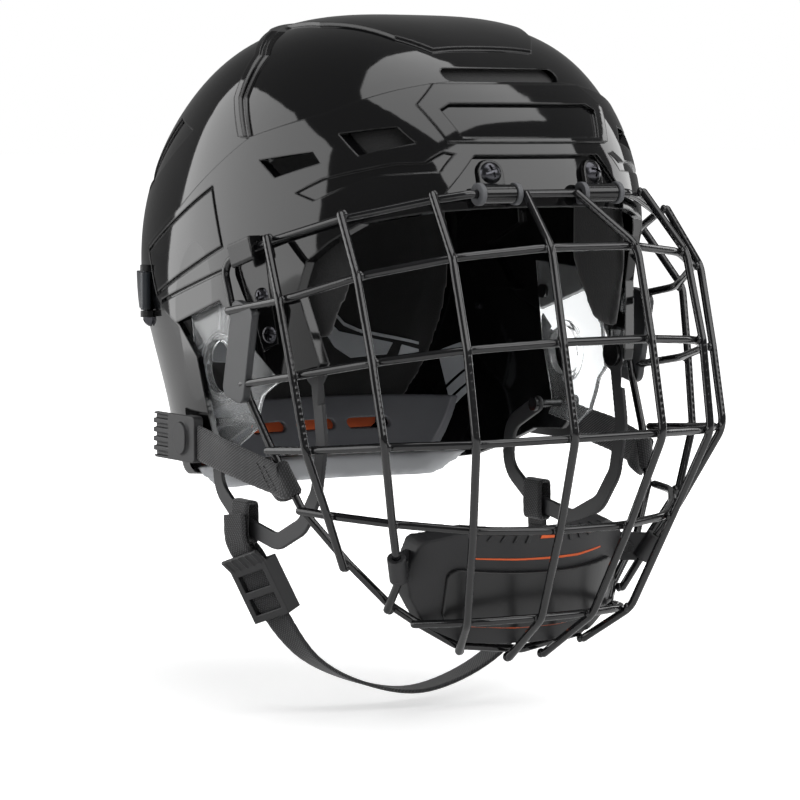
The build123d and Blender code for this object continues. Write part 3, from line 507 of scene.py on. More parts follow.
@dataclass
class Palette:
    """Every finish on the helmet, built once."""

    made: dict[str, bpy.types.Material] = field(default_factory=dict)

    # Injection-moulded ABS from a polished tool: deep black that mirrors the softboxes.
    shell: Moulded = Moulded("shell_abs_gloss_black", "#070708", "#0b0b0c", 0.05, 0.015, 1.4, 0.002, 60.0, 1.54, 1.1)
    # Nylon from a spark-eroded tool: satin black with soft, wide highlights, for the buckle and sleeves.
    trim: Moulded = Moulded("nylon_satin_black", "#1a1a1b", "#222224", 0.42, 0.06, 0.5, 0.05)
    # The same nylon from a polished tool: small sharp highlights, for the hinge clips, brackets and studs.
    dark_trim: Moulded = Moulded("nylon_gloss_black", "#0d0d0e", "#131314", 0.14, 0.03, 0.6, 0.01)
    # Cast rubber: a dull grey ring under each screw, with no clear highlight.
    rubber: Moulded = Moulded("rubber_grey", "#4c4d50", "#5a5b5e", 0.6, 0.06, 0.5, 0.05)
    # Flexible black rubber: half matt, so that the slings read softer than the shell.
    sling: Moulded = Moulded("rubber_black", "#1d1d1f", "#29292b", 0.5, 0.07, 0.6, 0.05)
    # Grained moulded rubber: a matt black cup, which shows its form by shading alone.
    cup: Moulded = Moulded("cup_rubber_matt_black", "#1b1b1c", "#232325", 0.5, 0.05, 0.6, 0.08)
    # Smooth hard plastic: a plate that catches light where the cup around it doesn't.
    cup_plate: Moulded = Moulded("cup_plate_gloss_black", "#101011", "#161617", 0.3, 0.04, 0.7, 0.03)
    # Pale polyethylene: the light band, slightly waxy, that shows through the open back.
    band: Moulded = Moulded("nape_plastic_pale_grey", "#c2c4c7", "#cdcfd2", 0.45, 0.06, 0.7, 0.04)
    # Dark grey polyethylene: a soft sheen on the slotted pad at the back of the head.
    pad_plastic: Moulded = Moulded("occiput_plastic_dark_grey", "#55565a", "#606165", 0.35, 0.06, 0.7, 0.05)
    # Rubber-covered clip: matt ribs for the fingers.
    clip: Moulded = Moulded("clip_rubber_black", "#1b1b1c", "#262628", 0.5, 0.06, 0.5, 0.06)
    # Flat moulded plate: dark grey with an even satin face.
    tag: Moulded = Moulded("tag_plastic_dark_grey", "#2c2d2f", "#353638", 0.38, 0.05, 0.6, 0.03)
    # Glass-filled plastic: slate levers with a firm shine.
    lock: Moulded = Moulded("lock_plastic_slate", "#26292c", "#30343a", 0.25, 0.05, 0.6, 0.02)
    # Dyed foam sheet: the one bright colour, flat and matt.
    accent: Moulded = Moulded("foam_orange", "#e0622a", "#cf5620", 0.6, 0.05, 0.6, 0.05)
    # Clear polycarbonate: seen by its rims and reflections, over what is behind it.
    guard: ClearSheet = ClearSheet("polycarbonate_clear", "#f8fafb", 0.04)
    # Epoxy-dipped steel wire: a thin bright line along each black round.
    wire: CoatedSteel = CoatedSteel("steel_wire_black_epoxy", "#060606", "#1b1b1d", 0.09)
    # Black zinc on steel: the only metal in sight, with a small glint on each dome.
    screw: PlatedScrew = PlatedScrew("steel_screw_black_zinc", "#4a4a4e", 0.22)
    # Skinned foam: swallows light, so the inside of the helmet falls away into black.
    foam: Foam = Foam("foam_skinned_black", "#121213", "#0c0c0d")
    # The same foam printed pale grey: flat shapes against the black.
    foam_grey: Foam = Foam("foam_skinned_grey", "#b4b7bb", "#a6a9ad")
    # Woven polyester: matt black, with a painted diagonal sheen: the raised yarns painted lighter.
    webbing: Webbing = Webbing("polyester_webbing_black", "#0f0f10", "#3a3a3d")

    def get(self, name: str) -> bpy.types.Material:
        """Return a finish's material, built the first time that it is asked for."""
        if name not in self.made:
            self.made[name] = getattr(self, name).build()
        return self.made[name]


@dataclass
class Dresser:
    """What every builder of pieces holds: the finishes and the CAD nodes by name."""

    palette: Palette
    nodes: dict[str, bpy.types.Object]


# Studio


@dataclass
class Studio:
    """The pale floor, the soft lamps and the camera at the photograph's angle."""

    azimuth: float = -32.84
    elevation: float = 4.888
    target: Place = (0.0, -0.012, -0.035)
    distance: float = 1.5
    lens: float = 141.75
    floor_height: float = -0.178
    floor_size: float = 60.0
    floor_glow: float = 0.45
    glow_reach: Pair = (0.15, 0.75)
    room_light: float = 0.16
    lamps: tuple[tuple[str, Place, float, float, float], ...] = (
        ("side_softbox", (-1.8, 1.3, 0.3), 3.0, 2.4, 54.0),
        ("brow_softbox", (0.55, -1.7, 1.15), 3.0, 1.3, 34.0),
        ("overhead_softbox", (0.15, -0.35, 1.8), 2.0, 1.4, 21.0),
        ("fill_softbox", (2.0, 0.2, 0.1), 0.8, 1.8, 11.0),
    )

    def make_camera(self) -> None:
        """Put the camera at the photograph's viewing angle."""
        turn, rise = math.radians(self.azimuth), math.radians(self.elevation)
        back = Vector((math.sin(turn) * math.cos(rise), -math.cos(turn) * math.cos(rise), math.sin(rise)))
        data = bpy.data.cameras.new("photo_camera")
        data.lens = self.lens
        camera = add_object("photo_camera", data)
        camera.location = Vector(self.target) + back * self.distance
        camera.rotation_euler = (-back).to_track_quat("-Z", "Y").to_euler()
        bpy.context.scene.camera = camera

    def make_lamps(self) -> None:
        """Hang the soft lamps, each turned to the helmet."""
        for name, place, wide, tall, power in self.lamps:
            data = bpy.data.lights.new(name, "AREA")
            data.shape = "RECTANGLE"
            data.size = wide
            data.size_y = tall
            data.energy = power
            lamp = add_object(name, data)
            lamp.location = place
            lamp.rotation_euler = (Vector(place) - Vector(self.target)).to_track_quat("Z", "Y").to_euler()

    def make_world(self) -> None:
        """Light the room evenly, and show it white to the camera."""
        world = bpy.data.worlds.new("studio_room")
        world.use_nodes = True
        bpy.context.scene.world = world
        tree = world.node_tree
        tree.nodes.clear()
        out = add_node(tree, "ShaderNodeOutputWorld")
        ray = add_node(tree, "ShaderNodeLightPath")
        room = add_node(tree, "ShaderNodeBackground", {"Color": linear("#ffffff"), "Strength": self.room_light})
        shown = add_node(tree, "ShaderNodeBackground", {"Color": linear("#ffffff"), "Strength": 1.0})
        either = add_node(
            tree,
            "ShaderNodeMath",
            {"operation": "MAXIMUM"},
            {0: ray.outputs["Is Camera Ray"], 1: ray.outputs["Is Transmission Ray"]},
        )
        mix = add_node(
            tree, "ShaderNodeMixShader", {}, {0: either.outputs[0], 1: room.outputs[0], 2: shown.outputs[0]}
        )
        tree.links.new(mix.outputs[0], out.inputs["Surface"])

    def make_floor(self) -> None:
        """Lay the pale floor, which keeps the helmet's shadow and otherwise shows white to the camera."""
        bpy.ops.object.select_all(action="DESELECT")
        bpy.ops.mesh.primitive_plane_add(size=self.floor_size, location=(0.0, 0.0, self.floor_height))
        floor = bpy.context.active_object
        floor.name = "studio_floor"
        material = start_material("floor_painted_white")
        tree = material.node_tree
        out = add_node(tree, "ShaderNodeOutputMaterial")
        paint = add_node(tree, "ShaderNodeBsdfPrincipled", {"Base Color": linear("#f4f4f4"), "Roughness": 0.9})
        place = add_node(tree, "ShaderNodeTexCoord")
        grain = add_node(tree, "ShaderNodeTexNoise", {"Scale": 200.0}, {"Vector": place.outputs["Object"]})
        bump = add_node(
            tree, "ShaderNodeBump", {"Strength": 0.05, "Distance": 0.1 * MM}, {"Height": grain.outputs["Fac"]}
        )
        tree.links.new(bump.outputs["Normal"], paint.inputs["Normal"])
        away = add_node(tree, "ShaderNodeVectorMath", {"operation": "LENGTH"}, {0: place.outputs["Object"]})
        near, far = self.glow_reach
        glow = add_node(
            tree,
            "ShaderNodeMapRange",
            {"From Min": near, "From Max": far, "To Min": self.floor_glow, "To Max": 1.0},
            {"Value": away.outputs["Value"]},
        )
        ray = add_node(tree, "ShaderNodeLightPath")
        seen = add_node(
            tree,
            "ShaderNodeMath",
            {"operation": "MAXIMUM"},
            {0: ray.outputs["Is Camera Ray"], 1: ray.outputs["Is Transmission Ray"]},
        )
        strength = add_node(
            tree, "ShaderNodeMath", {"operation": "MULTIPLY"}, {0: glow.outputs["Result"], 1: seen.outputs[0]}
        )
        white = add_node(tree, "ShaderNodeEmission", {"Color": linear("#ffffff")}, {"Strength": strength.outputs[0]})
        both = add_node(tree, "ShaderNodeAddShader", {}, {0: paint.outputs[0], 1: white.outputs[0]})
        tree.links.new(both.outputs[0], out.inputs["Surface"])
        dress(floor, material)

    def build(self) -> None:
        """Make the whole studio."""
        self.make_camera()
        self.make_lamps()
        self.make_world()
        self.make_floor()
        bpy.context.scene.view_settings.view_transform = "Standard"
        LOG.info("studio ready")


# Pieces that keep their CAD shape


@dataclass
class CarriedNodes(Dresser):
    """The CAD nodes that are shown as they are, each with its own finish."""

    finishes: dict[str, tuple[str, ...]] = field(
        default_factory=lambda: {
            "shell": ("front_shell", "rear_shell"),
            "foam": ("front_liner", "crown_liner", "rear_liner", *both("temple_pad"), "chin_cup_liner"),
            "guard": both("ear_guard"),
            "trim": (
                *both("brow_clip"), *both("temple_bracket"), "strap_slider", *both("size_lock"), "size_lock_lugs",
                *both("chin_bracket"), *both("release_clip"), *both("cage_tag"),
            ),
            "screw": (
                "brow_clip_screws", "brow_clip_nuts", "temple_bracket_screws", "temple_bracket_nuts",
                "size_lock_pins", "rear_shell_screws",
            ),
            "dark_trim": ("ear_guard_studs", "ear_sling_studs", "chin_rivets", "clip_anchors"),
            "rubber": ("brow_clip_flanges",),
            "sling": both("ear_sling"),
            "cup": ("chin_cup",),
            "cup_plate": ("chin_cup_plate",),
            "band": ("nape_band",),
            "pad_plastic": ("occiput_pad",),
            "wire": ("cage_rim_wire", "cage_upright_wires", "cage_cross_wires"),
            "webbing": ("chin_strap", "short_strap", *both("harness_strap")),
        }
    )

    def build(self) -> None:
        """Dress each node."""
        named = {node for group in self.finishes.values() for node in group}
        for missing in sorted(set(self.nodes) - named):
            LOG.warning("no finish for %s", missing)
        for finish, group in self.finishes.items():
            for name in group:
                dress(self.nodes[name], self.palette.get(finish))
        LOG.info("%d nodes dressed", len(named))


# Webbing

SHELL_HALF_WIDTH = 0.1042
SHELL_RADIUS = 0.150


def worn_place(side: float, back: float, up: float) -> Vector:
    """Turn (sideways, backward, upward) shares of the shell's sizes into a place."""
    return Vector((side * SHELL_HALF_WIDTH, back * SHELL_RADIUS, up * SHELL_RADIUS))


def facing(direction: Vector, toward: Vector) -> Vector:
    """Return a direction or its opposite, whichever points the same way as another."""
    return -direction if direction.dot(toward) < 0 else direction


def square_to(direction: Vector, run: Vector) -> Vector:
    """Return a direction's part at right angles to a run, one long."""
    return (direction - run * direction.dot(run)).normalized()


def lengths_along(rows: np.ndarray) -> np.ndarray:
    """Return how far along the run each row's place is."""
    return np.concatenate([[0.0], np.cumsum(np.linalg.norm(np.diff(rows[:, :3], axis=0), axis=1))])


def blend(low: float, high: float, at: float, first: np.ndarray, last: np.ndarray) -> np.ndarray:
    """Return the values at one knot place between two, from those at both."""
    return (high - at) / (high - low) * first + (at - low) / (high - low) * last


def smooth_run(points: np.ndarray, step: float) -> np.ndarray:
    """Follow a smooth curve through every point.

    Args:
        points: Rows of values, the first three of them a place.
        step: The distance between the returned rows.

    Returns:
        Rows along a centripetal curve, evenly spaced.
    """
    ends = np.vstack([2 * points[0] - points[1], points, 2 * points[-1] - points[-2]])
    rows = []
    for a, b, c, d in zip(ends, ends[1:], ends[2:], ends[3:]):
        knots = np.cumsum([0.0] + [max(np.linalg.norm((q - p)[:3]), 1e-6) ** 0.5 for p, q in ((a, b), (b, c), (c, d))])
        for at in np.linspace(knots[1], knots[2], 24, endpoint=False):
            ab, bc, cd = (blend(knots[k], knots[k + 1], at, *pair) for k, pair in enumerate(((a, b), (b, c), (c, d))))
            abc, bcd = blend(knots[0], knots[2], at, ab, bc), blend(knots[1], knots[3], at, bc, cd)
            rows.append(blend(knots[1], knots[2], at, abc, bcd))
    rows.append(points[-1])
    rows = np.array(rows)
    along = lengths_along(rows)
    even = np.linspace(0, along[-1], max(int(round(along[-1] / step)), 2) + 1)
    return np.column_stack([np.interp(even, along, rows[:, column]) for column in range(rows.shape[1])])


@dataclass
class Ribbon:
    """Flat woven webbing along a run, with a thick woven edge and rounded sides."""

    name: str
    places: list[Vector]
    widths: list[Vector]
    width: float
    wall: float
    closed: bool = False
    step: float = 0.0009
    edge_pitch: float = 0.0022
    edge_depth: float = 0.00018
    edge_start: float = 0.86
    edge_power: float = 2.6
    edge_swell: float = 0.07
    edge_draw: float = 0.004
    columns: int = 12

    def section(self) -> list[Pair]:
        """Return the webbing's outline as shares of its half width and half thickness."""
        top = []
        for column in range(self.columns + 1):
            share = -1 + 2 * column / self.columns
            edge = max(0.0, (abs(share) - self.edge_start) / (1 - self.edge_start))
            flank = math.sqrt(max(0.0, 1 - edge**self.edge_power))
            swell = 1 - self.edge_swell * (1 - abs(share))
            top.append((share * (1 - self.edge_draw * edge), flank * swell))
        return top + [(side, -thick) for side, thick in reversed(top[1:-1])]

    def build(self) -> bpy.types.Object:
        """Make the webbing's mesh, with its UV map in metres.

        Returns:
            The new object, its place in its mesh.
        """
        rows = np.array([[*place, *width.normalized()] for place, width in zip(self.places, self.widths)])
        if self.closed:
            rows = np.vstack([rows, rows[:1]])
        line = smooth_run(rows, self.step)
        if self.closed:
            line = line[:-1]
        count = len(line)
        outline = self.section()
        vertices, along = [], lengths_along(line)
        for index in range(count):
            ahead = line[(index + 1) % count if self.closed else min(index + 1, count - 1), :3]
            behind = line[(index - 1) % count if self.closed else max(index - 1, 0), :3]
            run = Vector(ahead - behind).normalized()
            across = square_to(Vector(line[index, 3:6]), run)
            out = run.cross(across).normalized()
            centre = Vector(line[index, :3])
            ripple = self.edge_depth * math.sin(2 * math.pi * along[index] / self.edge_pitch)
            for side, thick in outline:
                spread = side * self.width / 2 + math.copysign(ripple, side) * (abs(side) > 0.8)
                vertices.append(centre + across * spread + out * thick * self.wall / 2)
        ring = len(outline)
        faces = []
        last = count if self.closed else count - 1
        for index in range(last):
            here, there = index * ring, ((index + 1) % count) * ring
            for spot in range(ring):
                after = (spot + 1) % ring
                faces.append((here + spot, here + after, there + after, there + spot))
        if not self.closed:
            faces.append(tuple(reversed(range(ring))))
            faces.append(tuple(range((count - 1) * ring, count * ring)))
        mesh = bpy.data.meshes.new(self.name)
        mesh.from_pydata(vertices, [], faces)
        mesh.update()
        layer = mesh.uv_layers.new(name="weave")
        for face in mesh.polygons:
            wrap = self.closed and min(face.vertices) < ring and max(face.vertices) >= (count - 1) * ring
            for corner in face.loop_indices:
                vertex = mesh.loops[corner].vertex_index
                row, spot = divmod(vertex, ring)
                place = along[row] + (self.step + along[-1] if wrap and row == 0 else 0.0)
                layer.data[corner].uv = (outline[spot][0] * self.width / 2, place)
        made = add_object(self.name, mesh)
        select_only(made)
        edit_all()
        bpy.ops.mesh.normals_make_consistent(inside=False)
        leave_edit()
        bpy.ops.object.shade_smooth_by_angle(angle=math.radians(50))
        return made


STITCH_BENDS = ((0.0, -0.3), (0.16, 0.75), (0.42, 1.0), (0.66, 0.75), (0.8, -0.3))


def stitch_row(
    name: str, ends: list[tuple[Vector, Vector]], out: Vector, length: float = 0.0021, thread: float = 0.0004
) -> bpy.types.Object:
    """Sew rows of thread, each stitch a small bent rod half sunk in the webbing.

    Args:
        name: The new piece's name.
        ends: The first and last place of each row.
        out: The direction away from the webbing.
        length: One stitch with the gap after it.
        thread: The thread's diameter.

    Returns:
        All the rows as one piece.
    """
    made = bmesh.new()
    for first, last in ends:
        run = last - first
        count = max(int(run.length / length), 1)
        heading = run.normalized()
        side = heading.cross(out).normalized()
        for index in range(count):
            start = first + heading * (index * run.length / count)
            rings = []
            for along, lift in STITCH_BENDS:
                middle = start + heading * (along * length) + out * (lift * thread / 2)
                rings.append(
                    [
                        made.verts.new(middle + (side * math.cos(turn) + out * math.sin(turn)) * thread / 2)
                        for turn in (k * math.pi / 3 for k in range(6))
                    ]
                )
            for low, high in zip(rings, rings[1:]):
                for k in range(6):
                    made.faces.new((low[k], low[(k + 1) % 6], high[(k + 1) % 6], high[k]))
            made.faces.new(list(reversed(rings[0])))
            made.faces.new(rings[-1])
    bmesh.ops.recalc_face_normals(made, faces=made.faces)
    mesh = bpy.data.meshes.new(name)
    made.to_mesh(mesh)
    made.free()
    mesh.uv_layers.new(name="weave")
    piece = add_object(name, mesh)
    for face in mesh.polygons:
        face.use_smooth = True
    return piece


def join_pieces(pieces: list[bpy.types.Object], name: str) -> bpy.types.Object:
    """Join pieces into the first of them.

    Args:
        pieces: The pieces, the first of which stays.
        name: The joined piece's name.

    Returns:
        The joined piece.
    """
    select_only(pieces[0])
    for piece in pieces[1:]:
        piece.select_set(True)
    bpy.ops.object.join()
    pieces[0].name = name
    return pieces[0]


@dataclass
class StrapWebbing(Dresser):
    """The chin strap with its loops round the slings, and the short strap on the wearer's right."""

    width: float = 0.0156
    wall: float = 0.00175
    sling_out: float = 0.084
    sling_wall: float = 0.002
    loop_clear: float = 0.0007
    loop_tall: float = 0.0166
    loop_place: Place = (0.797, -0.053, -0.585)
    apart: float = 0.001
    strap_wall: float = 0.0018
    corner: float = 0.0013
    short_drop: float = 0.005
    short_start: float = 0.0009
    seam_half: float = 0.0066
    seam_pitch: float = 0.004
    short_seam_pitch: float = 0.003
    route: tuple[tuple[float, float, float, float, float], ...] = (
        (-0.859, -0.06, -0.56, -0.15, 0.99), (-0.856, -0.073, -0.65, -0.2, 0.97), (-0.79, -0.097, -0.733, -0.45, 0.85),
        (-0.715, -0.127, -0.86, -0.4, 0.9), (-0.576, -0.183, -1.007, -0.2, 0.97), (-0.336, -0.213, -1.097, 0.0, 1.0),
        (-0.04, -0.227, -1.135, 0.0, 1.0), (0.384, -0.2, -1.053, 0.0, 1.0), (0.624, -0.153, -0.92, 0.0, 1.0),
        (0.768, -0.1, -0.747, 0.0, 1.0), (0.797, -0.056, -0.685, 0.0, 1.0), (0.797, -0.053, -0.646, 0.0, 1.0),
    )

    def loop(self, side: int) -> bpy.types.Object:
        """Make the loop round one sling.

        Args:
            side: 1 for the wearer's left and -1 for the right.

        Returns:
            The closed loop of webbing.
        """
        middle = worn_place(*self.loop_place)
        centre = Vector((side * (self.sling_out - self.sling_wall / 2), middle.y, middle.z))
        half_wide = self.sling_wall / 2 + self.loop_clear + self.wall / 2
        half_tall = self.loop_tall / 2 + self.wall / 2
        places = []
        for across, up, start in ((1, 1, 0), (-1, 1, 90), (-1, -1, 180), (1, -1, 270)):
            for part in (0, 45, 90):
                swing = math.radians(start + part)
                wide = across * (half_wide - self.corner) + self.corner * math.cos(swing)
                tall = up * (half_tall - self.corner) + self.corner * math.sin(swing)
                places.append(centre + Vector((wide, 0.0, tall)))
        widths = [Vector((0, 1, 0))] * len(places)
        return Ribbon("strap_loop", places, widths, self.width, self.wall, closed=True).build()

    def seam(self, at: Vector, face: int, pitch: float) -> bpy.types.Object:
        """Sew two rows of stitches across the webbing.

        Args:
            at: The middle of the webbing at the upper row.
            face: The face that shows the thread: 1 towards the wearer's left and -1 towards the right.
            pitch: How far the lower row is below the upper one.

        Returns:
            Both rows.
        """
        start, half = at + Vector((face * self.wall / 2, 0, 0)), Vector((0, self.seam_half, 0))
        drops = (Vector((0, 0, 0)), Vector((0, 0, pitch)))
        rows = [(start - half - drop, start + half - drop) for drop in drops]
        return stitch_row("strap_stitches", rows, Vector((face, 0, 0)))

    def build_chin_strap(self, places: list[Vector], widths: list[Vector]) -> None:
        """Make the chin strap in place of its CAD solid.

        Args:
            places: Its route.
            widths: The direction of its width at each place.
        """
        strap = Ribbon("chin_strap_webbing", places, widths, self.width, self.wall).build()
        left = self.loop(1)
        low = places[-1] - Vector((0.0, 0.0, self.seam_pitch))
        seams = [self.seam(low, face, self.seam_pitch) for face in (-1, 1)]
        strap = join_pieces([strap, left, *seams], "chin_strap_webbing")
        dress(strap, self.palette.get("webbing"))
        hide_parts("chin_strap")
        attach(strap, Body.FRONT.value)

    def build_short_strap(self, places: list[Vector], widths: list[Vector]) -> None:
        """Make the short strap, which lies on the chin strap's inner face, in place of its CAD solid.

        Args:
            places: The chin strap's route.
            widths: The direction of the chin strap's width at each place.
        """
        upper, lower = places[2], places[3]
        run = (lower - upper).normalized()
        across = square_to((widths[2].normalized() + widths[3].normalized()).normalized(), run)
        inward = facing(across.cross(run).normalized(), Vector((-1, 0, 0))) * -(self.strap_wall + self.apart)
        top = worn_place(*self.loop_place)
        bottom = top.z - self.loop_tall / 2 - self.short_start
        short_places = [
            Vector((-top.x, top.y, bottom)),
            Vector((-top.x, top.y, bottom - self.short_drop)),
            upper + inward - run * self.short_drop,
            upper + inward + run * self.seam_pitch,
            lower + inward,
        ]
        short_widths = [Vector((0, 1, 0)), Vector((-0.3, 0.95, 0)), across, across, across]
        short = Ribbon("short_strap_webbing", short_places, short_widths, self.width, self.wall).build()
        right = self.loop(-1)
        seam = self.seam(short_places[1] + Vector((0, 0, 0.001)), -1, self.short_seam_pitch)
        short = join_pieces([short, right, seam], "short_strap_webbing")
        dress(short, self.palette.get("webbing"))
        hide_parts("short_strap")
        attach(short, Body.FRONT.value)

    def build(self) -> None:
        """Make both straps in place of their CAD solids."""
        places = [worn_place(*row[:3]) for row in self.route]
        widths = [Vector((row[3], row[4], 0)) for row in self.route]
        self.build_chin_strap(places, widths)
        self.build_short_strap(places, widths)
        LOG.info("straps: 2 pieces")


@dataclass
class HarnessWebbing(Dresser):
    """The straps from the cage's side wires back to the ribbed clips, each folded round the wire and sewn."""

    width: float = 0.0162
    wall: float = 0.0019
    wire: float = 0.0038
    wire_clear: float = 0.00012
    tuck: Pair = (0.0045, 0.00055)
    seams: Pair = (0.0075, 0.0125)
    seam_half: float = 0.0068
    upper: Place = (-0.10296, -0.06669, -0.0486)
    lower: Place = (-0.09603, -0.08075, -0.07425)
    middle: Place = (-0.1075, -0.038, -0.055)
    rear: Place = (-0.1074, -0.001, -0.049)

    def build_side(self, side: int) -> bpy.types.Object:
        """Make one harness strap.

        Args:
            side: 1 for the wearer's left and -1 for the right.

        Returns:
            The strap with its fold and stitches.
        """
        flip = Vector((-side, 1, 1))
        ends = (self.upper, self.lower, self.middle, self.rear)
        upper, lower, middle, rear = (Vector(place) * flip for place in ends)
        wire_run, up, sideways = (upper - lower).normalized(), Vector((0, 0, 1)), Vector((side, 0, 0))
        loop = (upper + lower) / 2
        outward = facing(wire_run.cross(rear - loop).normalized(), sideways)
        backward = facing(wire_run.cross(outward).normalized(), rear - loop)
        radius = self.wire / 2 + self.wire_clear + self.wall / 2
        leave = loop + outward * radius
        places = [rear, (rear + middle) / 2, middle, middle.lerp(leave, 0.72)]
        widths = [up, up, wire_run + up, wire_run]
        for turn in range(90, -91, -30):
            swing = math.radians(turn)
            places.append(loop + outward * (radius * math.sin(swing)) - backward * (radius * math.cos(swing)))
            widths.append(wire_run)
        strap = Ribbon("harness_webbing", places, widths, self.width, self.wall).build()
        tuck_back, tuck_out = self.tuck
        fold = [
            loop - outward * radius,
            loop + backward * tuck_back + outward * tuck_out,
            middle.lerp(leave, 0.62) - outward * (self.wall * 1.04),
        ]
        inner = Ribbon("harness_fold", fold, [wire_run] * 3, self.width * 0.985, self.wall * 0.96).build()
        heading = (middle - leave).normalized()
        face = facing(heading.cross(wire_run).normalized(), sideways)
        rows = []
        for distance in self.seams:
            at = leave + heading * distance + face * (self.wall / 2)
            rows.append((at - wire_run * self.seam_half, at + wire_run * self.seam_half))
        seam = stitch_row("harness_stitches", rows, face)
        return join_pieces([strap, inner, seam], "harness_webbing")

    def build(self) -> None:
        """Make both harness straps in place of their CAD solids."""
        for side, word in ((-1, "right"), (1, "left")):
            strap = self.build_side(side)
            strap.name = f"harness_webbing_{word}"
            dress(strap, self.palette.get("webbing"))
            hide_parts(f"harness_strap_{word}")
            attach(strap, Body.CAGE.value)
        LOG.info("harness: 2 pieces")


# Padding


@dataclass
class Padding(Dresser):
    """The foam pads: each is its CAD solid's form with the soft, rolled edges that cut foam has."""

    voxel: float = 0.0022
    rounds: int = 6
    pads: tuple[tuple[str, str, Body, float], ...] = (
        ("front_liner", "foam", Body.FRONT, 0.9),
        ("temple_pad_right", "foam", Body.FRONT, 0.8),
        ("temple_pad_left", "foam", Body.FRONT, 0.8),
        ("crown_liner", "foam", Body.REAR, 0.9),
        ("rear_liner", "foam", Body.REAR, 0.9),
        ("nape_band", "band", Body.REAR, 0.9),
        ("chin_cup_liner", "foam", Body.CAGE, 0.8),
    )
    trims: tuple[tuple[str, Place, Place], ...] = (
        ("temple_pad_right", (-0.0735, -0.088, 0.0), (0.972, 0.235, 0.0)),
        ("temple_pad_left", (0.0735, -0.088, 0.0), (-0.972, 0.235, 0.0)),
    )

    def trim(self, name: str) -> None:
        """Cut the active pad down to the thickness that its foam has at the temples.

        Args:
            name: The pad's CAD node.
        """
        for trimmed, place, normal in self.trims:
            if trimmed == name:
                edit_all()
                bpy.ops.mesh.bisect(plane_co=place, plane_no=normal, use_fill=True, clear_outer=True)
                leave_edit()

    def build(self) -> None:
        """Make every pad in place of its CAD solid."""
        for name, finish, body, fill in self.pads:
            pad = merged_copy(self.nodes[name], f"{name}_pad")
            self.trim(name)
            roll_edges(pad, self.voxel, self.rounds)
            dress(pad, self.palette.get(finish))
            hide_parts(name)
            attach(pad, body.value)
            LOG.info("%s: %d faces", pad.name, len(pad.data.polygons))


def merged_copy(node: bpy.types.Object, name: str) -> bpy.types.Object:
    """Copy a CAD node's mesh, merge its loose triangles and make the copy the active piece.

    Args:
        node: The CAD node, which stays as it is.
        name: The copy's name.

    Returns:
        The copy, with a mesh of its own.
    """
    mesh = node.data.copy()
    mesh.name = name
    made = add_object(name, mesh)
    select_only(made)
    edit_all()
    bpy.ops.mesh.remove_doubles(threshold=MERGE_REACH)
    bpy.ops.mesh.dissolve_limited(angle_limit=math.radians(0.6))
    bpy.ops.mesh.select_all(action="DESELECT")
    leave_edit()
    return made


@dataclass
class SoftEdged(Dresser):
    """Hard moulded pieces in their CAD shape, whose edges and inner corners are rolled as a mould's are."""

    pieces: tuple[tuple[tuple[str, ...], str, Body, float, int], ...] = (
        (("chin_cup",), "cup", Body.CAGE, 0.00055, 7),
        (("chin_cup_plate",), "cup_plate", Body.CAGE, 0.0004, 4),
        (both("chin_bracket"), "trim", Body.CAGE, 0.0003, 3),
        (both("cage_tag"), "tag", Body.CAGE, 0.0004, 5),
        (both("release_clip"), "clip", Body.CAGE, 0.0003, 3),
        (("strap_slider",), "trim", Body.FRONT, 0.00028, 3),
        (both("temple_bracket"), "dark_trim", Body.FRONT, 0.00035, 3),
        (both("brow_clip"), "dark_trim", Body.FRONT, 0.0003, 3),
        (("brow_clip_flanges",), "rubber", Body.FRONT, 0.0003, 3),
        (both("ear_sling"), "sling", Body.FRONT, 0.0004, 5),
        (both("ear_guard"), "guard", Body.FRONT, 0.0005, 4),
        (("occiput_pad",), "pad_plastic", Body.REAR, 0.0006, 6),
        (("cage_rim_wire",), "wire", Body.CAGE, 0.00055, 4),
        (("cage_upright_wires", "cage_cross_wires"), "wire", Body.CAGE, 0.0006, 4),
        (("size_lock_right",), "lock", Body.LOCK_RIGHT, 0.0003, 3),
        (("size_lock_left",), "lock", Body.LOCK_LEFT, 0.0003, 3),
    )

    def build(self) -> None:
        """Make every piece in place of its CAD node."""
        for names, finish, body, voxel, rounds in self.pieces:
            for name in names:
                piece = merged_copy(self.nodes[name], f"{name}_moulded")
                roll_edges(piece, voxel, rounds)
                dress(piece, self.palette.get(finish))
                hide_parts(name)
                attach(piece, body.value)
                LOG.info("%s: %d faces", piece.name, len(piece.data.polygons))


def roll_edges(piece: bpy.types.Object, voxel: float, rounds: int) -> None:
    """Roll the active piece's edges, on a new closed mesh.

    Args:
        piece: The piece, which is the active one.
        voxel: The size of the new mesh's faces.
        rounds: How many times the edges are smoothed.
    """
    apply_modifier(piece, "REMESH", mode="VOXEL", voxel_size=voxel)
    apply_modifier(piece, "SMOOTH", factor=0.5, iterations=rounds)
    bpy.ops.object.shade_smooth()


# Screws


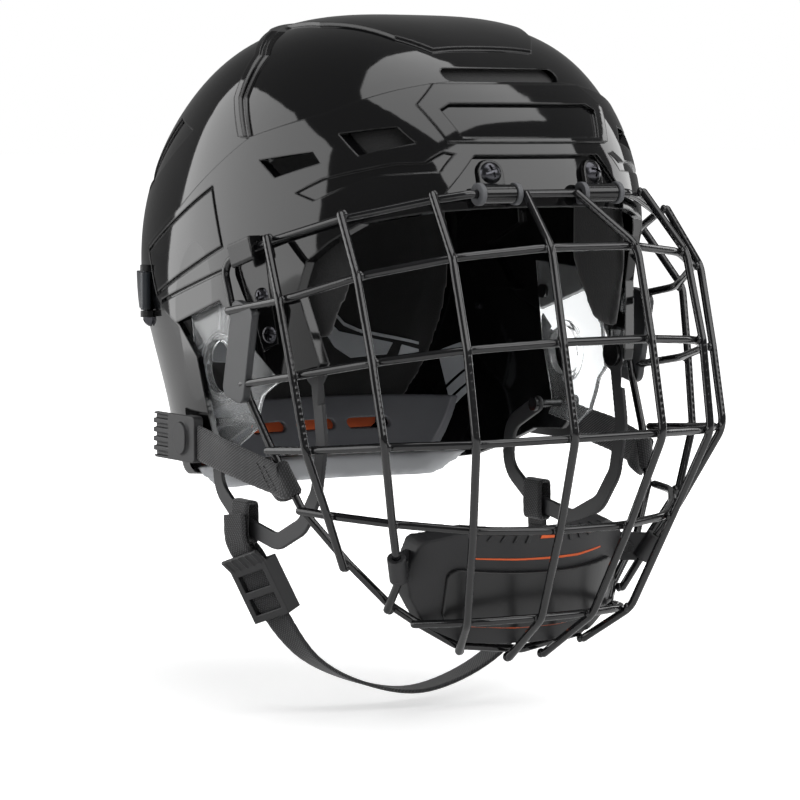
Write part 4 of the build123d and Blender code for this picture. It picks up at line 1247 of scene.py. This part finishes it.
@dataclass
class DomedScrews(Dresser):
    """Domed cross-recess screws in place of the CAD's plain heads, each on its own screw line."""

    kinds: tuple[tuple[str, Place, float, float, float, Body], ...] = (
        ("brow_clip_screws", (-0.2151, -0.9318, 0.2924), 0.0102, 0.0029, 0.0095, Body.FRONT),
        ("temple_bracket_screws", (-0.91, -0.4, -0.05), 0.008, 0.0021, 0.008, Body.FRONT),
        ("rear_shell_screws", (-0.97, 0.22, -0.03), 0.0094, 0.0034, 0.005, Body.REAR),
    )
    rim: float = 0.0004
    edge_width: float = 0.00016
    recess_length_share: float = 0.58
    recess_width: float = 0.0011
    recess_depth: float = 0.0017
    shank_share: float = 0.4
    first_turn: float = 0.35
    next_turn: float = 0.9
    top_reach: float = 0.0007
    proud: float = 0.0003

    def make_one(self, head: float, rise: float, shank: float) -> bpy.types.Object:
        """Model one screw with its head on the origin, pointing up.

        Args:
            head: The head's diameter.
            rise: The dome's height.
            shank: The shank's length under the head.

        Returns:
            The screw.
        """
        bpy.ops.object.select_all(action="DESELECT")
        radius = ((head / 2) ** 2 + rise**2) / (2 * rise)
        bpy.ops.mesh.primitive_uv_sphere_add(segments=48, ring_count=48, radius=radius, location=(0, 0, 0))
        dome = bpy.context.active_object
        edit_all()
        bpy.ops.transform.translate(value=(0, 0, rise - radius))
        bpy.ops.mesh.select_all(action="SELECT")
        bpy.ops.mesh.bisect(plane_co=(0, 0, 0), plane_no=(0, 0, 1), use_fill=True, clear_inner=True)
        bpy.ops.mesh.extrude_region_move(TRANSFORM_OT_translate={"value": (0, 0, -self.rim)})
        bpy.ops.mesh.inset(thickness=head * (1 - self.shank_share) / 2)
        bpy.ops.mesh.extrude_region_move(TRANSFORM_OT_translate={"value": (0, 0, -shank)})
        bpy.ops.mesh.select_all(action="SELECT")
        bpy.ops.mesh.normals_make_consistent(inside=False)
        leave_edit()
        for turn in (0.0, math.pi / 2):
            bpy.ops.object.select_all(action="DESELECT")
            bpy.ops.mesh.primitive_cube_add(size=1.0, location=(0, 0, rise), rotation=(0, 0, turn))
            blade = bpy.context.active_object
            blade.scale = (head * self.recess_length_share, self.recess_width, 2 * self.recess_depth)
            bpy.ops.object.transform_apply(location=True, rotation=True, scale=True)
            select_only(dome)
            apply_modifier(dome, "BOOLEAN", operation="DIFFERENCE", object=blade)
            bpy.data.objects.remove(blade)
        sharp = math.radians(35)
        apply_modifier(dome, "BEVEL", width=self.edge_width, segments=2, limit_method="ANGLE", angle_limit=sharp)
        bpy.ops.object.shade_smooth_by_angle(angle=sharp)
        return dome

    def build(self) -> None:
        """Put a screw where each CAD screw is."""
        for name, heading, head, rise, shank, body in self.kinds:
            screws = []
            for index, island in enumerate(islands(self.nodes[name])):
                side = 1 if island[:, 0].mean() > 0 else -1
                out = Vector((-side * heading[0], heading[1], heading[2])).normalized()
                reach = island @ np.array(out)
                top = island[reach > reach.max() - self.top_reach]
                base = Vector(top.mean(axis=0)) - out * (rise - self.proud)
                screw = self.make_one(head, rise, shank)
                turn = Matrix.Rotation(self.first_turn + self.next_turn * index, 4, "Z")
                screw.data.transform(Matrix.Translation(base) @ out.to_track_quat("Z", "Y").to_matrix().to_4x4() @ turn)
                screws.append(screw)
            made = join_pieces(screws, f"{name}_domed")
            dress(made, self.palette.get("screw"))
            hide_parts(name)
            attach(made, body.value)
            LOG.info("%s: %d", made.name, len(screws))


def islands(node: bpy.types.Object) -> list[np.ndarray]:
    """Return the vertex places of each separate solid of a node, in the order of its vertices."""
    mesh = bmesh.new()
    mesh.from_mesh(node.data)
    bmesh.ops.remove_doubles(mesh, verts=mesh.verts, dist=MERGE_REACH)
    left = set(mesh.verts)
    found = []
    for seed in mesh.verts:
        if seed not in left:
            continue
        left.remove(seed)
        group, front = [seed], [seed]
        while front:
            vertex = front.pop()
            for edge in vertex.link_edges:
                other = edge.other_vert(vertex)
                if other in left:
                    left.remove(other)
                    group.append(other)
                    front.append(other)
        found.append(np.array([tuple(vertex.co) for vertex in group]))
    mesh.free()
    return found


# Weld beads


@dataclass
class WeldBeads(Dresser):
    """The small beads where cross wires and uprights were resistance-welded and the coating pooled."""

    half_width: float = 0.110
    reach: float = 0.190
    drop: float = 0.150
    bead: float = 0.0021
    flattened: Place = (1.12, 1.05, 0.72)
    spread: float = 0.08
    spread_pitch: float = 3.1
    crossings: tuple[Place, ...] = (
        (0.995, 0.454, 0.128), (0.835, 0.642, 0.204), (0.56, 0.788, 0.258), (0.203, 0.873, 0.285),
        (0.975, 0.494, -0.091), (0.828, 0.699, -0.04), (0.565, 0.851, -0.001), (0.209, 0.926, 0.016),
        (0.953, 0.53, -0.307), (0.822, 0.745, -0.279), (0.562, 0.886, -0.267), (0.209, 0.973, -0.255),
        (0.864, 0.541, -0.501), (0.7, 0.666, -0.517), (0.48, 0.803, -0.53), (0.165, 0.879, -0.534),
        (0.395, 0.707, -0.817), (0.123, 0.772, -0.808),
        (0.509, 0.661, 0.434), (0.797, 0.537, 0.376), (0.935, 0.34, 0.303),
        (0.083, 0.609, -0.953), (0.302, 0.592, -0.924), (0.577, 0.534, -0.793), (0.744, 0.497, -0.664),
    )

    def build(self) -> None:
        """Set a flattened bead at every crossing, on both sides."""
        wide, tall, thick = self.flattened
        beads = []
        for index, (side, forward, up) in enumerate(self.crossings):
            for hand in (-1, 1):
                place = Vector((hand * side * self.half_width, -forward * self.reach, up * self.drop))
                out = Vector((place.x / self.half_width**2, place.y / self.reach**2, 0)).normalized()
                bpy.ops.object.select_all(action="DESELECT")
                bpy.ops.mesh.primitive_uv_sphere_add(segments=14, ring_count=8, radius=self.bead)
                bead = bpy.context.active_object
                grow = 1.0 + self.spread * math.sin(self.spread_pitch * index + hand)
                bead.data.transform(
                    Matrix.Translation(place)
                    @ out.to_track_quat("Z", "Y").to_matrix().to_4x4()
                    @ Matrix.Diagonal((wide * grow, tall * grow, thick, 1.0))
                )
                beads.append(bead)
        made = join_pieces(beads, "cage_weld_beads")
        bpy.ops.object.shade_smooth()
        dress(made, self.palette.get("wire"))
        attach(made, Body.CAGE.value)
        LOG.info("weld beads: %d", len(beads))


# Inlays


class Hand(Enum):
    """Which sides of the helmet a shape is laid on."""

    LEFT = (1,)
    BOTH = (-1, 1)


CUP_RIBS: tuple[tuple[Pair, ...], ...] = (
    ((0.009, -0.0838), (0.0108, -0.0838), (0.0128, -0.0892), (0.011, -0.0892)),
    ((0.0145, -0.0836), (0.0163, -0.0836), (0.0187, -0.0888), (0.0169, -0.0888)),
    ((0.020, -0.0834), (0.0218, -0.0834), (0.0246, -0.0882), (0.0228, -0.0882)),
    ((0.0256, -0.0832), (0.0274, -0.0832), (0.0304, -0.0876), (0.0286, -0.0876)),
    ((0.0312, -0.083), (0.033, -0.083), (0.036, -0.087), (0.0342, -0.087)),
)


@dataclass
class Inlays(Dresser):
    """Thin pads and strips that hug another piece: each is a front outline laid on it along +Y."""

    dice: float = 0.0016
    start: float = -0.3
    least_travel: float = 0.005
    shapes: tuple[tuple[str, str, str, Body, float, Hand, tuple[Pair, ...]], ...] = (
        (
            "liner_inlay_rear", "rear_liner_pad", "foam_grey", Body.REAR, 0.0008, Hand.BOTH,
            ((0.0235, -0.002), (0.0265, 0.0), (0.0325, -0.0095), (0.0426, -0.012), (0.0546, -0.015), (0.0505, -0.0205),
             (0.0335, -0.0222), (0.0275, -0.0168)),
        ),
        (
            "liner_inlay_corner", "rear_liner_pad", "foam_grey", Body.REAR, 0.0008, Hand.BOTH,
            ((0.058, -0.0158), (0.067, -0.0182), (0.067, -0.0196), (0.0555, -0.0208)),
        ),
        (
            "liner_piping", "rear_liner_pad", "foam_grey", Body.REAR, 0.0009, Hand.BOTH,
            ((0.0305, 0.0115), (0.0318, 0.0115), (0.0308, 0.0055), (0.0366, -0.0052), (0.0425, -0.0085),
             (0.067, -0.0145), (0.067, -0.0158), (0.0422, -0.0098), (0.0359, -0.0064), (0.0294, 0.0054)),
        ),
        (
            "slot_backing", "rear_liner_pad", "accent", Body.REAR, 0.0006, Hand.LEFT,
            ((-0.041, -0.0562), (0.041, -0.0562), (0.041, -0.0498), (-0.041, -0.0498)),
        ),
        (
            "corner_panel", "rear_shell", "foam_grey", Body.REAR, 0.0006, Hand.BOTH,
            ((0.0785, -0.0195), (0.0885, -0.0135), (0.0878, -0.0195), (0.0853, -0.0275), (0.0776, -0.0362),
             (0.078, -0.0251)),
        ),
        (
            "corner_stripe_1", "rear_shell", "foam_grey", Body.REAR, 0.0006, Hand.BOTH,
            ((0.0775, -0.038), (0.0853, -0.029), (0.0847, -0.0343), (0.0773, -0.0427)),
        ),
        (
            "corner_stripe_2", "rear_shell", "foam_grey", Body.REAR, 0.0006, Hand.BOTH,
            ((0.0772, -0.0444), (0.0845, -0.036), (0.0842, -0.0393), (0.0772, -0.0478)),
        ),
        (
            "cup_line_upper", "chin_cup_moulded", "accent", Body.CAGE, 0.0003, Hand.LEFT,
            ((-0.036, -0.0958), (-0.016, -0.0970), (0.0, -0.0973), (0.018, -0.0972), (0.034, -0.0952), (0.034, -0.0946),
             (0.018, -0.0962), (0.0, -0.0964), (-0.016, -0.0962), (-0.036, -0.0952)),
        ),
        (
            "cup_line_lower", "chin_cup_moulded", "accent", Body.CAGE, 0.0003, Hand.LEFT,
            ((-0.034, -0.1268), (-0.012, -0.1286), (0.012, -0.1286), (0.034, -0.1268), (0.034, -0.1258),
             (0.012, -0.1274), (-0.012, -0.1274), (-0.034, -0.1258)),
        ),
        (
            "cup_tab", "chin_cup_moulded", "accent", Body.CAGE, 0.0005, Hand.LEFT,
            ((-0.0042, -0.0842), (0.0042, -0.0842), (0.0055, -0.0875), (-0.0055, -0.0875)),
        ),
        *(
            (f"cup_rib_{number}", "chin_cup_moulded", "cup", Body.CAGE, 0.0008, Hand.BOTH, corners)
            for number, corners in enumerate(CUP_RIBS, start=1)
        ),
    )

    def lay(
        self, name: str, carrier: bpy.types.Object, thickness: float, side: int, outline: tuple[Pair, ...]
    ) -> bpy.types.Object:
        """Cut one outline and lay it on its carrier.

        Args:
            name: The new piece's name.
            carrier: The piece that it hugs.
            thickness: How far it stands proud.
            side: 1 to lay it as given and -1 to lay its mirror image.
            outline: Its corners, as (sideways, upward) lengths.

        Returns:
            The inlay, a closed thin piece.
        """
        made = bmesh.new()
        corners = [made.verts.new((side * across, self.start, up)) for across, up in outline]
        made.faces.new(corners if side < 0 else list(reversed(corners)))
        lows = [min(value) for value in zip(*outline)]
        highs = [max(value) for value in zip(*outline)]
        for axis, normal in ((0, (1, 0, 0)), (1, (0, 0, 1))):
            spot = lows[axis] + self.dice
            while spot < highs[axis]:
                at = (side * spot, 0, 0) if axis == 0 else (0, 0, spot)
                everything = made.verts[:] + made.edges[:] + made.faces[:]
                bmesh.ops.bisect_plane(made, geom=everything, plane_co=at, plane_no=normal)
                spot += self.dice
        bmesh.ops.triangulate(made, faces=made.faces)
        mesh = bpy.data.meshes.new(name)
        made.to_mesh(mesh)
        made.free()
        piece = add_object(name, mesh)
        select_only(piece)
        apply_modifier(
            piece,
            "SHRINKWRAP",
            target=carrier,
            wrap_method="PROJECT",
            use_project_x=False,
            use_project_y=True,
            use_project_z=False,
            use_positive_direction=True,
            use_negative_direction=False,
            offset=0.0,
        )
        landed = bmesh.new()
        landed.from_mesh(piece.data)
        missed = [vertex for vertex in landed.verts if vertex.co.y < self.start + self.least_travel]
        bmesh.ops.delete(landed, geom=missed, context="VERTS")
        landed.to_mesh(piece.data)
        landed.free()
        if Vector(piece.data.polygons[0].normal).y > 0:
            piece.data.flip_normals()
        apply_modifier(piece, "SOLIDIFY", thickness=2 * thickness, offset=0.0)
        bpy.ops.object.shade_smooth_by_angle(angle=math.radians(40))
        return piece

    def build(self) -> None:
        """Lay every shape on its carrier."""
        for name, carrier, finish, body, thickness, hand, outline in self.shapes:
            target = bpy.data.objects[carrier]
            laid = [self.lay(name, target, thickness, side, outline) for side in hand.value]
            piece = join_pieces(laid, name)
            dress(piece, self.palette.get(finish))
            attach(piece, body.value)
        LOG.info("inlays: %d", len(self.shapes))


def main() -> None:
    """Build the studio, then dress the loaded frame and add each sub-assembly in order."""
    logging.basicConfig(level=logging.INFO, format="%(message)s")
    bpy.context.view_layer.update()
    Studio().build()
    palette = Palette()
    for kind in (
        CarriedNodes, StrapWebbing, HarnessWebbing, Padding, SoftEdged, DomedScrews, WeldBeads, Inlays,
    ):
        kind(palette, frame["nodes"]).build()


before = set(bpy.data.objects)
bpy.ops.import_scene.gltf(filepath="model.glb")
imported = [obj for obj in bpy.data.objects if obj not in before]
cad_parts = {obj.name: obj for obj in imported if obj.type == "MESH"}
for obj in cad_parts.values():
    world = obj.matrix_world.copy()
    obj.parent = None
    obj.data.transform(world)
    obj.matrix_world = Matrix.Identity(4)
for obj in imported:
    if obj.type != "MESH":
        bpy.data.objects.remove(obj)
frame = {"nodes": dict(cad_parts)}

if __name__ == "__main__":
    main()
